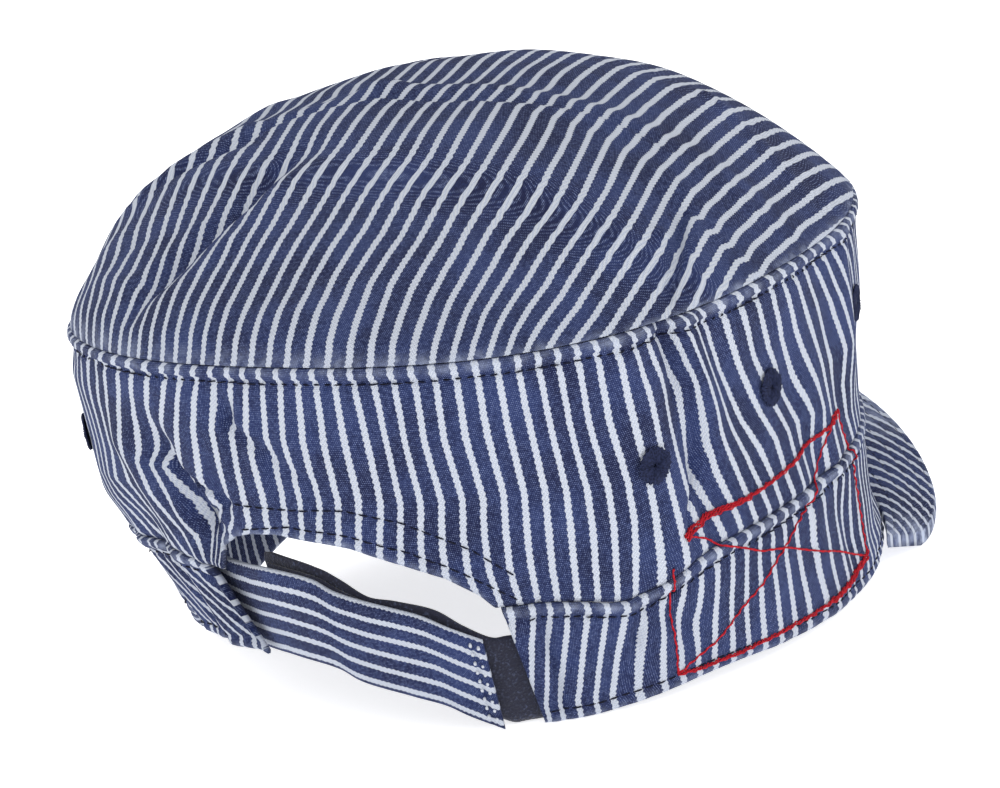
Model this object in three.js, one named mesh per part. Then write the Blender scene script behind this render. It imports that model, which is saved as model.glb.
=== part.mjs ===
// Cadet cap for a child, sewn from striped cotton twill: a domed crown top, a side wall with an arched
// opening at the back, a head band, a curved peak, and a strap that closes on a woven tape.
// Millimetres, +Z up. The peak points to -Y, the opening is at +Y and the wearer's right side is -X.
// The cap rests on its back hem and on the two low corners of the peak, all at z = 0.
// A "turn" is an angle in degrees round the cap: 0 at the centre of the back, +90 at the wearer's right.

import * as THREE from 'three';
import { mergeVertices } from 'three/addons/utils/BufferGeometryUtils.js';

// Cloth thicknesses and the clearance between neighbouring pieces
const CLOTH = 1.8;
const BAND_CLOTH = 2.2;
const PEAK_THICKNESS = 3;
const SEAM_GAP = 0.3;
const BAND_GAP = 0.55;
const PEAK_GAP = 0.45;

// The ovals that the wall is sewn to, with the height of each at the back, the side and the front.
// square is the power of the oval: 2 is an ellipse, more is squarer.
const RIM = {
  halfWidth: 80, halfLength: 94.4, square: 2.45, aside: 0, forward: 0, back: 86.9, side: 88.2, front: 93,
};
const SEAM = {
  halfWidth: 80.4, halfLength: 91, square: 2.2, aside: -0.5, forward: 4.7, back: 28, side: 36.5, front: 45,
};
const HEM = {
  halfWidth: 78.2, halfLength: 89.2, square: 2.2, aside: -1.5, forward: 11, back: 0, side: 1.4, front: 14,
};

// Raised seam edges: how far they stand out of the cloth and how tall they are
const RIM_LIP = { out: 0.9, height: 2.4 };
const BAND_LIP = { out: 0.8, height: 2.2 };

// Places where a ring leaves its smooth oval: centre and spread in degrees, how far it rises and
// how far it is pushed out, in mm. The back of the left side is drawn up and in by the strap.
const DRIFTS = [
  { ring: RIM, turn: -65, spread: 42, rise: 0, out: 3 },
  { ring: RIM, turn: -66, spread: 10, rise: 0, out: -1.6 },
  { ring: RIM, turn: 110, spread: 30, rise: 0, out: 1 },
  { ring: SEAM, turn: 50, spread: 10, rise: -5, out: 0 },
  { ring: SEAM, turn: -30, spread: 30, rise: 9.5, out: 0 },
  { ring: SEAM, turn: -30, spread: 20, rise: 0, out: -2 },
  { ring: SEAM, turn: -65, spread: 20, rise: 0, out: 1.4 },
  { ring: HEM, turn: -14, spread: 20, rise: 13.5, out: 0 },
  { ring: HEM, turn: -46, spread: 22, rise: 15.2, out: -4.5 },
  { ring: HEM, turn: -60, spread: 12, rise: 3, out: -1 },
  { ring: HEM, turn: -80, spread: 12, rise: -3.5, out: 0 },
  { ring: HEM, turn: -104, spread: 20, rise: 8, out: 0 },
  { ring: HEM, turn: 64, spread: 20, rise: 3.7, out: 0 },
  { ring: HEM, turn: 80, spread: 24, rise: 0, out: -2.5 },
];

// Folds of the wall, from one turn and level to another. Level 0 is the rim, 1 the seam and 2 the hem.
// out is the height of the fold: above zero it bulges, below zero it is a crease.
const WALL_FOLDS = [
  { name: 'back_pinch_crease', turnA: -26, levelA: 0.3, turnB: -15, levelB: 0.85, spread: 3.4, out: -5 },
  { name: 'back_pinch_roll', turnA: -36, levelA: 0.25, turnB: -24, levelB: 0.95, spread: 5, out: 3 },
  { name: 'right_side_fold', turnA: 62, levelA: 0.02, turnB: 66, levelB: 0.75, spread: 3.2, out: -2.4 },
  { name: 'right_side_roll', turnA: 55, levelA: 0.1, turnB: 58, levelB: 0.9, spread: 5, out: 1.4 },
  { name: 'band_fold', turnA: 52, levelA: 1.02, turnB: 58, levelB: 1.5, spread: 3, out: -1.6 },
  { name: 'left_side_roll', turnA: -64, levelA: 0.27, turnB: -58, levelB: 0.78, spread: 20, out: 3.6 },
  { name: 'left_side_fold', turnA: -99, levelA: 0.1, turnB: -95, levelB: 0.8, spread: 4, out: -2.2 },
  { name: 'right_front_hollow', turnA: 121, levelA: 0.66, turnB: 121, levelB: 1.7, spread: 14, out: -1.7 },
];

// The crown top: its height above the rim, how full it is, and how the fullness changes with direction
const DOME = {
  height: 36.8, roundness: 2.34, edge: 0.78, gentlerRight: 0.25, higherFront: 0.26, higherRight: -0.1,
};

// Share of the way out beyond which the crown's cloth lies on the seam with the wall
const SEWN_REACH = 0.96;

// Ridges and valleys of the crown top between two points in plan, in mm. rise is above zero on a ridge.
const CROWN_FOLDS = [
  { name: 'cross_ridge_left', xA: 66, yA: 30, xB: 18, yB: 0, spread: 5, rise: 2 },
  { name: 'cross_ridge_right', xA: 18, yA: 0, xB: -76, yB: -11, spread: 5, rise: 2 },
  { name: 'left_valley', xA: 40, yA: 84, xB: 24, yB: 30, spread: 6, rise: -2 },
  { name: 'right_valley', xA: -58, yA: 12, xB: -71, yB: 50, spread: 5, rise: -2.6 },
  { name: 'left_edge_dent', xA: 79, yA: 42, xB: 68, yB: 66, spread: 7, rise: -5 },
  { name: 'left_shoulder', xA: 74, yA: 38, xB: 56, yB: -12, spread: 6, rise: 1.2 },
  { name: 'far_hollow', xA: 42, yA: -34, xB: 18, yB: -50, spread: 9, rise: -2.1 },
];

// Lower edge of the wall above the opening, from its left corner to its right one
const ARCH_EDGE = [
  { turn: -17.5, z: 41.5 },
  { turn: -14, z: 44.6 },
  { turn: -9, z: 46.6 },
  { turn: -4, z: 47.2 },
  { turn: 6, z: 44.5 },
  { turn: 14, z: 40.3 },
  { turn: 20, z: 37 },
  { turn: 25, z: 32.4 },
  { turn: 27.5, z: 28.5 },
];
const OPENING = { leftTurn: -17.5, rightTurn: 27.5 };
const BAND_ENDS = { leftTop: -21, leftBottom: -14.5, rightTop: 28, rightBottom: 30.5 };

// The peak: its plan edge is an arc of an oval, and it arches from corner to corner
const PEAK = {
  turnSpan: 62, frontY: -139, cornerX: 69.5, cornerY: -76, edgeSquare: 1.85,
  edgeHeight: 25, cornerHeight: 0, edgePower: 2.1, arch: 4,
};

// The closing strap and its tapes lie along the band: each row has a turn, the height of the middle of the
// width and the distance out of the band's surface. The strap comes out from under the band's left end
// and is sewn off at its right end. The loop tape comes out from under the band's right end, behind it.
const STRAP = { width: 22.2, thickness: 2 };
const STRAP_LINE = [
  { turn: -27, z: 27.2, out: -6 },
  { turn: -20, z: 26.2, out: -5.8 },
  { turn: -14, z: 26.4, out: -4.6 },
  { turn: -8, z: 27.3, out: -2 },
  { turn: -1, z: 26.5, out: -0.1 },
  { turn: 2.5, z: 23.6, out: 0.3 },
  { turn: 6.5, z: 21.7, out: 0.6 },
  { turn: 11, z: 20, out: 0.9 },
  { turn: 15.5, z: 17.9, out: 1 },
  { turn: 19, z: 14.9, out: 1 },
  { turn: 24, z: 11.2, out: 1.2 },
];
const HOOK_TAPE = { width: 19.6, thickness: 1 };
const HOOK_LINE = [
  { turn: -9, z: 29, out: -4.6 },
  { turn: -1, z: 27.8, out: -2.1 },
  { turn: 2.5, z: 24.9, out: -1.7 },
  { turn: 6.5, z: 22.2, out: -1.4 },
  { turn: 11, z: 20.4, out: -1.1 },
  { turn: 15.5, z: 18.3, out: -1 },
  { turn: 19, z: 15.4, out: -1 },
  { turn: 22.5, z: 12, out: -0.9 },
];
const LOOP_TAPE = { width: 21, thickness: 1.6 };
const LOOP_LINE = [
  { turn: 46, z: 10.9, out: -4.4 },
  { turn: 36, z: 10.9, out: -4.4 },
  { turn: 28, z: 10.7, out: -3.8 },
  { turn: 25, z: 10.9, out: -3.2 },
  { turn: 21, z: 14.4, out: -2.9 },
  { turn: 17, z: 18.7, out: -2.8 },
  { turn: 11, z: 20.9, out: -3 },
  { turn: 6.5, z: 21.9, out: -3.3 },
  { turn: 2.5, z: 25.7, out: -3.6 },
  { turn: -1.5, z: 28.8, out: -4.2 },
  { turn: -8, z: 30.1, out: -6.2 },
  { turn: -10.5, z: 29.8, out: -7 },
];

// Embroidered eyelets on each side of the wall
const EYELETS = [
  { name: 'back', turn: 56.3, level: 0.53 },
  { name: 'side', turn: 82.4, level: 0.47 },
  { name: 'front', turn: 110.5, level: 0.42 },
];
const EYELET = { radius: 4.2, holeRadius: 0.9, thickness: 1.1, sides: 16 };

// Facets of the model
const TURN_STEP = 5;
const WALL_LEVELS = 7;
const BAND_LEVELS = 4;
const CROWN_RINGS = 10;
const PEAK_COLUMNS = 24;
const PEAK_ROWS = 5;
const STRIP_STEPS = 32;

const DENIM = new THREE.MeshStandardMaterial({ color: '#3d4f86', roughness: 0.9, metalness: 0 });
const NAVY_TAPE = new THREE.MeshStandardMaterial({ color: '#23253a', roughness: 0.95, metalness: 0 });
const NAVY_THREAD = new THREE.MeshStandardMaterial({ color: '#2b2f4d', roughness: 0.7, metalness: 0 });

const radians = (degrees) => (degrees * Math.PI) / 180;
const mix = (a, b, share) => a + (b - a) * share;
const bell = (distance, spread) => Math.exp(-((distance / spread) ** 2));

// Signed difference of two turns, from -180 to 180 degrees
const turnApart = (a, b) => ((a - b + 540) % 360) - 180;

// A point on a ring's smooth oval, in plan
function ovalPoint(ring, turn) {
  const side = Math.sin(radians(turn));
  const back = Math.cos(radians(turn));
  const power = 2 / ring.square;
  return new THREE.Vector3(
    ring.aside - ring.halfWidth * Math.sign(side) * Math.abs(side) ** power,
    -ring.forward + ring.halfLength * Math.sign(back) * Math.abs(back) ** power,
    0,
  );
}

// Direction in plan that points straight out of the cap at a turn
function outward(turn) {
  const before = ovalPoint(RIM, turn - 1);
  const after = ovalPoint(RIM, turn + 1);
  return new THREE.Vector3(before.y - after.y, after.x - before.x, 0).normalize().negate();
}

// One measure of a ring's drifts at a turn: their rise or their way out
function drift(ring, turn, measure) {
  const rows = DRIFTS.filter((row) => row.ring === ring);
  return rows.reduce((sum, row) => sum + row[measure] * bell(turnApart(turn, row.turn), row.spread), 0);
}

// Height of a ring at a turn, through its back, side and front heights, and flat where it meets the floor
function ringHeight(ring, turn) {
  const along = Math.cos(radians(turn));
  const slope = (ring.back - ring.front) / 2;
  const bend = (ring.back + ring.front) / 2 - ring.side;
  const smooth = ring.side + slope * along + bend * along * along;
  return Math.max(smooth + drift(ring, turn, 'rise'), 0);
}

// A point on a ring
function ringPoint(ring, turn) {
  const point = ovalPoint(ring, turn).addScaledVector(outward(turn), drift(ring, turn, 'out'));
  return point.setZ(ringHeight(ring, turn));
}

// How far the folds push the wall out at a turn and level
function wallFold(turn, level) {
  let out = 0;
  for (const fold of WALL_FOLDS) {
    const share = (level - fold.levelA) / (fold.levelB - fold.levelA);
    const inside = Math.min(Math.max(share, 0), 1);
    const centre = mix(fold.turnA, fold.turnB, inside);
    const past = Math.abs(share - inside) * Math.abs(fold.levelB - fold.levelA);
    out += fold.out * bell(turnApart(turn, centre), fold.spread) * bell(past, 0.15);
  }
  return out;
}

// A point of the wall (level 0 to 1) or the band (level 1 to 2), moved out by a distance
function wallPoint(turn, level, out) {
  const upper = ringPoint(level <= 1 ? RIM : SEAM, turn);
  const lower = ringPoint(level <= 1 ? SEAM : HEM, turn);
  const point = upper.lerp(lower, level <= 1 ? level : level - 1);
  return point.addScaledVector(outward(turn), out + wallFold(turn, level));
}

// Level on the wall and band of a height at a turn
function levelOf(turn, z) {
  const seam = ringHeight(SEAM, turn);
  if (z > seam) {
    const rim = ringHeight(RIM, turn);
    return (rim - z) / (rim - seam);
  }
  return 1 + (seam - z) / (seam - ringHeight(HEM, turn));
}

// Turn a list of faces over if they point into the solid
function facingOut(points, faces) {
  let volume = 0;
  for (const [a, b, c] of faces) {
    volume += points[a].dot(points[b].clone().cross(points[c]));
  }
  return volume < 0 ? faces.map(([a, b, c]) => [a, c, b]) : faces;
}

// A closed solid between an outer and an inner grid of points. Each grid is a list of columns.
// closed joins the last column to the first, and tips close the far ends of the columns in one point.
function shellGeometry({ outer, inner, closed = false, tips = null }) {
  const points = [];
  const numberPoints = (column) => column.map((p) => points.push(p) - 1);
  const out = outer.map(numberPoints);
  const into = inner.map(numberPoints);
  const faces = [];
  const quad = (a, b, c, d) => faces.push([a, b, c], [a, c, d]);
  const columns = out.length;
  const rows = out[0].length;
  const spans = closed ? columns : columns - 1;
  const tipNumbers = tips ? tips.map((p) => points.push(p) - 1) : null;
  for (let i = 0; i < spans; i += 1) {
    const next = (i + 1) % columns;
    for (let j = 0; j < rows - 1; j += 1) {
      quad(out[i][j], out[next][j], out[next][j + 1], out[i][j + 1]);
      quad(into[i][j + 1], into[next][j + 1], into[next][j], into[i][j]);
    }
    quad(into[i][0], into[next][0], out[next][0], out[i][0]);
    if (tipNumbers) {
      faces.push([out[i][rows - 1], out[next][rows - 1], tipNumbers[0]]);
      faces.push([into[next][rows - 1], into[i][rows - 1], tipNumbers[1]]);
    } else {
      quad(out[i][rows - 1], out[next][rows - 1], into[next][rows - 1], into[i][rows - 1]);
    }
  }
  if (!closed) {
    for (let j = 0; j < rows - 1; j += 1) {
      const last = columns - 1;
      quad(out[0][j], out[0][j + 1], into[0][j + 1], into[0][j]);
      quad(into[last][j], into[last][j + 1], out[last][j + 1], out[last][j]);
    }
  }
  const geometry = new THREE.BufferGeometry();
  geometry.setAttribute('position', new THREE.Float32BufferAttribute(points.flatMap((p) => p.toArray()), 3));
  geometry.setIndex(facingOut(points, faces).flat());
  return geometry;
}

// Numbers from first to last in equal steps
function spread(first, last, count) {
  return Array.from({ length: count + 1 }, (unused, i) => mix(first, last, i / count));
}

// Height of the crown top above the rim at a turn and a share of the way out from the centre
function domeHeight(turn, reach) {
  const rim = ringPoint(RIM, turn);
  const right = Math.sin(radians(turn));
  const edge = DOME.edge + DOME.gentlerRight * right;
  const front = -rim.y / RIM.halfLength;
  const lean = 1 + (DOME.higherFront * front + DOME.higherRight * right) * reach;
  return DOME.height * Math.max(1 - reach ** DOME.roundness, 0) ** edge * lean;
}

// How far the folds raise the crown top at a point in plan, fading out at its sewn edge
function crownFold(x, y, reach) {
  let rise = 0;
  for (const fold of CROWN_FOLDS) {
    const alongX = fold.xB - fold.xA;
    const alongY = fold.yB - fold.yA;
    const share = ((x - fold.xA) * alongX + (y - fold.yA) * alongY) / (alongX ** 2 + alongY ** 2);
    const inside = Math.min(Math.max(share, 0), 1);
    const apart = Math.hypot(x - fold.xA - inside * alongX, y - fold.yA - inside * alongY);
    rise += fold.rise * bell(apart, fold.spread);
  }
  return rise * (1 - reach ** 12);
}

// A point on the outside of the crown top
function crownPoint(turn, reach) {
  const rim = ringPoint(RIM, turn);
  const x = rim.x * reach;
  const y = rim.y * reach;
  const baseHeight = mix(RIM.side, rim.z, reach);
  return new THREE.Vector3(x, y, baseHeight + domeHeight(turn, reach) + crownFold(x, y, reach) + SEAM_GAP);
}

// The same point moved through the cloth, square to the surface
function crownInnerPoint(turn, reach) {
  const point = crownPoint(turn, reach);
  if (reach === 1) {
    return point.addScaledVector(outward(turn), -CLOTH);
  }
  const floor = reach > SEWN_REACH ? mix(RIM.side, ringHeight(RIM, turn), reach) + SEAM_GAP : 0;
  const step = 0.01;
  const alongTurn = crownPoint(turn + 1, reach).sub(crownPoint(turn - 1, reach));
  const alongReach = crownPoint(turn, Math.min(reach + step, 1)).sub(crownPoint(turn, reach - step));
  const normal = alongTurn.cross(alongReach).normalize();
  point.addScaledVector(normal, normal.z > 0 ? -CLOTH : CLOTH);
  return point.setZ(Math.max(point.z, floor));
}

function crownTop() {
  const turns = spread(0, 360 - TURN_STEP, 360 / TURN_STEP - 1);
  const reaches = Array.from({ length: CROWN_RINGS }, (unused, i) => 1 - (i / CROWN_RINGS) ** 1.9);
  const outer = turns.map((turn) => reaches.map((reach) => crownPoint(turn, reach)));
  const inner = turns.map((turn) => reaches.map((reach) => crownInnerPoint(turn, reach)));
  const tip = crownPoint(0, 0);
  return shellGeometry({ outer, inner, closed: true, tips: [tip, tip.clone().setZ(tip.z - CLOTH)] });
}

// Height of the opening's upper edge at a turn
function archHeight(turn) {
  const after = ARCH_EDGE.findIndex((row) => row.turn >= turn);
  const above = ARCH_EDGE[Math.max(after, 1)];
  const below = ARCH_EDGE[Math.max(after, 1) - 1];
  return mix(below.z, above.z, (turn - below.turn) / (above.turn - below.turn));
}

// Level at which the wall ends: the seam, or the arched edge over the opening
function wallEnd(turn) {
  const near = turnApart(turn, 0);
  if (near < OPENING.leftTurn || near > OPENING.rightTurn) {
    return 1;
  }
  const top = ringHeight(RIM, turn);
  return Math.min((top - archHeight(near)) / (top - ringHeight(SEAM, turn)), 1);
}

// Turns round the cap, with closer ones along the opening's edge
function wallTurns() {
  const edge = ARCH_EDGE.map((row) => row.turn);
  const between = spread(OPENING.leftTurn, OPENING.rightTurn, 14);
  const rest = spread(OPENING.rightTurn + 2.5, 360 + OPENING.leftTurn - 2.5, 62);
  const near = [...edge, ...between].sort((a, b) => a - b);
  return [...near.filter((turn, i) => i === 0 || turn - near[i - 1] > 0.8), ...rest];
}

// Level of a height measured down from the top of the wall
const lipLevel = (lip, upper, lower) => lip.height / (upper.side - lower.side);

function sideWall() {
  const lip = lipLevel(RIM_LIP, RIM, SEAM);
  const outer = [];
  const inner = [];
  for (const turn of wallTurns()) {
    const levels = spread(lip * 1.25, wallEnd(turn), WALL_LEVELS);
    const lipPoints = [wallPoint(turn, 0, RIM_LIP.out), wallPoint(turn, lip, RIM_LIP.out)];
    outer.push([...lipPoints, ...levels.map((level) => wallPoint(turn, level, 0))]);
    inner.push([0, lip, ...levels].map((level) => wallPoint(turn, level, -CLOTH)));
  }
  return shellGeometry({ outer, inner, closed: true });
}

function headBand() {
  const first = (level) => mix(BAND_ENDS.rightTop, BAND_ENDS.rightBottom, level - 1);
  const last = (level) => 360 + mix(BAND_ENDS.leftTop, BAND_ENDS.leftBottom, level - 1);
  const columns = Math.round((360 - BAND_ENDS.rightTop) / TURN_STEP);
  const outer = [];
  const inner = [];
  for (let i = 0; i <= columns; i += 1) {
    const turnAt = (level) => mix(first(level), last(level), i / columns);
    const height = ringHeight(SEAM, turnAt(1)) - ringHeight(HEM, turnAt(2));
    const top = 1 + BAND_GAP / height;
    const lip = top + BAND_LIP.height / height;
    const levels = [top, lip, ...spread(lip + 0.02, 2, BAND_LEVELS)];
    outer.push(levels.map((level) => wallPoint(turnAt(level), level, level <= lip ? BAND_LIP.out : 0)));
    inner.push(levels.map((level) => wallPoint(turnAt(level), level, -BAND_CLOTH)));
  }
  return shellGeometry({ outer, inner });
}

// Upper face of the peak: across runs from -1 at the right corner to 1 at the left, reach from hem to edge
function peakPoint(across, reach) {
  const turn = 180 + across * PEAK.turnSpan;
  const root = wallPoint(turn, 2, PEAK_GAP);
  root.z += PEAK_THICKNESS * 0.8;
  const angle = (across * Math.PI) / 2;
  const power = 2 / PEAK.edgeSquare;
  const side = Math.abs(Math.sin(angle)) ** power;
  const front = Math.cos(angle) ** power;
  const edge = new THREE.Vector3(
    Math.sign(across) * PEAK.cornerX * side + HEM.aside,
    mix(PEAK.cornerY, PEAK.frontY, front),
    mix(PEAK.cornerHeight, PEAK.edgeHeight, Math.cos(angle) ** PEAK.edgePower) + PEAK_THICKNESS,
  );
  const point = root.clone().lerp(edge, reach);
  point.z += PEAK.arch * Math.sin(Math.PI * reach ** 0.7) * Math.cos(angle);
  return point;
}

function peak() {
  const outer = [];
  const inner = [];
  for (const across of spread(-1, 1, PEAK_COLUMNS)) {
    const column = spread(0, 1, PEAK_ROWS).map((reach) => peakPoint(across, reach));
    outer.push(column);
    inner.push(column.map((point) => point.clone().setZ(Math.max(point.z - PEAK_THICKNESS, 0))));
  }
  return shellGeometry({ outer, inner });
}

// A flat strip on edge that follows the rows of a line along the band
function stripGeometry(line, size) {
  const curve = new THREE.CatmullRomCurve3(line.map((row) => new THREE.Vector3(row.turn, row.z, row.out)));
  const side = (row, offset) => [-1, 1].map((end) => {
    const z = Math.max(row.y + (end * size.width) / 2, 0);
    const point = wallPoint(row.x, levelOf(row.x, z), 0);
    return point.addScaledVector(outward(row.x), row.z + offset - wallFold(row.x, levelOf(row.x, z)));
  });
  const rows = spread(0, 1, STRIP_STEPS).map((share) => curve.getPoint(share));
  const outer = rows.map((row) => side(row, size.thickness / 2));
  const inner = rows.map((row) => side(row, -size.thickness / 2));
  return shellGeometry({ outer, inner });
}

// A ring of embroidery round a small hole, standing on the cloth
function eyeletGeometry() {
  const { radius, holeRadius, thickness, sides } = EYELET;
  const profile = [
    new THREE.Vector2(holeRadius, 0),
    new THREE.Vector2(radius, 0),
    new THREE.Vector2(radius, thickness * 0.4),
    new THREE.Vector2(radius * 0.75, thickness),
    new THREE.Vector2(radius * 0.4, thickness),
    new THREE.Vector2(holeRadius, thickness * 0.5),
    new THREE.Vector2(holeRadius, 0),
  ];
  return new THREE.LatheGeometry(profile, sides).rotateX(Math.PI / 2);
}

// Lay an eyelet on the wall, facing out
function placeEyelet(mesh, turn, level) {
  const centre = wallPoint(turn, level, SEAM_GAP * 1.5);
  const above = wallPoint(turn, level - 0.06, 0).sub(wallPoint(turn, level + 0.06, 0));
  const beside = wallPoint(turn + 2, level, 0).sub(wallPoint(turn - 2, level, 0));
  const facing = new THREE.Vector3().crossVectors(above, beside).normalize();
  const out = facing.dot(outward(turn)) > 0 ? facing : facing.negate();
  mesh.quaternion.setFromUnitVectors(new THREE.Vector3(0, 0, 1), out);
  mesh.position.copy(centre);
}

// Merge a geometry's equal points, so that it is one closed body
function weld(geometry) {
  geometry.deleteAttribute('normal');
  geometry.deleteAttribute('uv');
  return mergeVertices(geometry, 1e-4);
}

function addPiece(parent, name, geometry, material) {
  const mesh = new THREE.Mesh(weld(geometry), material);
  mesh.name = name;
  parent.add(mesh);
  return mesh;
}

const cap = new THREE.Group();
addPiece(cap, 'crown_top', crownTop(), DENIM);
addPiece(cap, 'side_wall', sideWall(), DENIM);
addPiece(cap, 'head_band', headBand(), DENIM);
addPiece(cap, 'peak', peak(), DENIM);
addPiece(cap, 'back_strap', stripGeometry(STRAP_LINE, STRAP), DENIM);
addPiece(cap, 'hook_tape', stripGeometry(HOOK_LINE, HOOK_TAPE), NAVY_TAPE);
addPiece(cap, 'loop_tape', stripGeometry(LOOP_LINE, LOOP_TAPE), NAVY_TAPE);

for (const side of ['right', 'left']) {
  for (const row of EYELETS) {
    const mesh = addPiece(cap, `eyelet_${side}_${row.name}`, eyeletGeometry(), NAVY_THREAD);
    placeEyelet(mesh, side === 'right' ? row.turn : -row.turn, row.level);
  }
}

// Put the origin at the middle of the cap's bounding box, on the floor
const bounds = new THREE.Box3().setFromObject(cap, true);
const middle = bounds.getCenter(new THREE.Vector3()).setZ(bounds.min.z);
for (const mesh of cap.children) {
  mesh.position.sub(middle);
}

export default cap;
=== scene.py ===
import math

import bpy
import numpy as np
from mathutils import Matrix, Vector


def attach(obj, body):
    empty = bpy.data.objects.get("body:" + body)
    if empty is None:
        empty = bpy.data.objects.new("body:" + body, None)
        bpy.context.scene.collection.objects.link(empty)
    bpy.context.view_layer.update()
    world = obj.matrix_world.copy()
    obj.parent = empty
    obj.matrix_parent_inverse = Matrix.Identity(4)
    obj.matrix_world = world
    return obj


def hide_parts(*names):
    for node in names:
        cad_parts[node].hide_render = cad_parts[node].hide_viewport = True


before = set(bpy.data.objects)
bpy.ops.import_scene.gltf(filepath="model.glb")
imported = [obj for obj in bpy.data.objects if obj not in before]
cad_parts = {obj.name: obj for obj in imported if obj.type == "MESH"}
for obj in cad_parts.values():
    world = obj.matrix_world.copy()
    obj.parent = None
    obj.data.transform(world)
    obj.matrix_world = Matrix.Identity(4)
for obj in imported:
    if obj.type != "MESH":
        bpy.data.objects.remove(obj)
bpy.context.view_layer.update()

bl_info = {
    "name": "Striped cadet cap",
    "version": (1, 0, 0),
    "blender": (4, 5, 0),
    "location": "3D View > Sidebar > Cap",
    "description": "Cloth, stitching and studio for a child's cadet cap",
    "category": "Object",
}

BODY = "root"

# The cap's shape in mm, from the same named values as its solids. A turn is an angle in degrees round
# the cap: 0 at the centre of the back, +90 at the wearer's right. Level 0 of the wall is the rim,
# 1 is the seam with the band and 2 is the hem.
ORIGIN = np.array([1.012, -21.710, 0.0])
CLOTH = 1.8
BAND_CLOTH = 2.2
PEAK_THICKNESS = 3.0
SEAM_GAP = 0.3
RIM = {"half_width": 80, "half_length": 94.4, "square": 2.45, "aside": 0, "forward": 0,
       "back": 86.9, "side": 88.2, "front": 93}
SEAM = {"half_width": 80.4, "half_length": 91, "square": 2.2, "aside": -0.5, "forward": 4.7,
        "back": 28, "side": 36.5, "front": 45}
HEM = {"half_width": 78.2, "half_length": 89.2, "square": 2.2, "aside": -1.5, "forward": 11,
       "back": 0, "side": 1.4, "front": 14}

# Places where a ring leaves its smooth oval: turn, spread, rise, out
RIM["drifts"] = ((-65, 42, 0, 3), (-66, 10, 0, -1.6), (110, 30, 0, 1))
SEAM["drifts"] = ((50, 10, -5, 0), (-30, 30, 9.5, 0), (-30, 20, 0, -2), (-65, 20, 0, 1.4))
HEM["drifts"] = ((-14, 20, 13.5, 0), (-46, 22, 15.2, -4.5), (-60, 12, 3, -1), (-80, 12, -3.5, 0),
                 (-104, 20, 8, 0), (64, 20, 3.7, 0), (80, 24, 0, -2.5))

# Folds of the wall and band: first turn and level, last turn and level, spread, height. The first two
# start lower and are shallower than the solids' folds.
WALL_FOLDS = (
    (-25, 0.5, -15, 0.85, 3.6, -3.5), (-34, 0.5, -24, 0.95, 4.5, 2.0), (62, 0.02, 66, 0.75, 3.2, -2.4),
    (55, 0.1, 58, 0.9, 5, 1.4), (52, 1.02, 58, 1.5, 3, -1.6), (-64, 0.27, -58, 0.78, 20, 3.6),
    (-99, 0.1, -95, 0.8, 4, -2.2), (121, 0.66, 121, 1.7, 14, -1.7),
)

# Smaller folds that only the cloth shows, in the same columns
CLOTH_FOLDS = (
    (-24.5, 0.47, -22, 0.54, 1.6, -1.7), (-22, 0.54, -12.5, 0.62, 1.4, -1.7),
    (-12.2, 0.64, -19.2, 0.77, 1.4, -1.5), (-19.2, 0.77, -20.2, 0.91, 1.4, -1.5),
    (-24.8, 0.55, -22.5, 0.69, 1.8, 1.4), (-22.5, 0.69, -20.5, 0.82, 1.8, 1.2),
    (-4.8, 0.1, -7.5, 0.25, 1.1, -0.9), (-7.5, 0.25, -6, 0.31, 1.1, -0.9),
    (-7, 0.25, -1.8, 0.39, 1.2, -1.2), (-1.8, 0.39, 2, 0.48, 1.2, -0.8),
    (60.2, 0.0, 61.5, 0.16, 1.5, 1.2), (63.4, 0.02, 64.6, 0.22, 1.0, -1.8), (67.5, 0.05, 69, 0.4, 2.2, 1.3),
    (66.2, 0.61, 64.8, 0.7, 1.0, -1.6), (64.8, 0.7, 61.2, 0.8, 1.0, -1.6),
    (73, 0.25, 77, 0.7, 2.6, -0.9), (86, 0.55, 90, 0.95, 2.4, -1.0), (91, 0.6, 95, 1.0, 2.2, 1.1),
    (96, 0.15, 98.5, 0.7, 2.8, -1.2), (104, 0.1, 106, 0.6, 3, 1.2),
    (34.2, 1.13, 34.2, 1.8, 0.6, -1.5), (31.4, 1.1, 32.4, 1.9, 0.9, 0.7), (37.2, 1.1, 38, 1.8, 1.4, 0.5),
    (51, 1.18, 48.8, 1.39, 0.8, -1.1), (48.8, 1.39, 47.5, 1.57, 0.8, -1.1),
    (46, 1.2, 44, 1.9, 2.2, -0.6), (94, 1.1, 99, 1.8, 2.4, -1.0), (88, 1.2, 90, 1.8, 2.4, 0.8),
    (-24, 1.05, -17, 1.9, 1.3, -1.6), (-30, 1.02, -22, 1.95, 1.8, 1.2), (-36, 1.05, -27, 1.9, 1.4, -1.5),
    (-44, 1.05, -34, 1.9, 2.2, 1.2), (-52, 1.1, -44, 1.9, 2.0, -1.3),
)

DOME = {"height": 36.8, "roundness": 2.34, "edge": 0.78, "gentler_right": 0.25, "higher_front": 0.26,
        "higher_right": -0.1}

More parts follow.
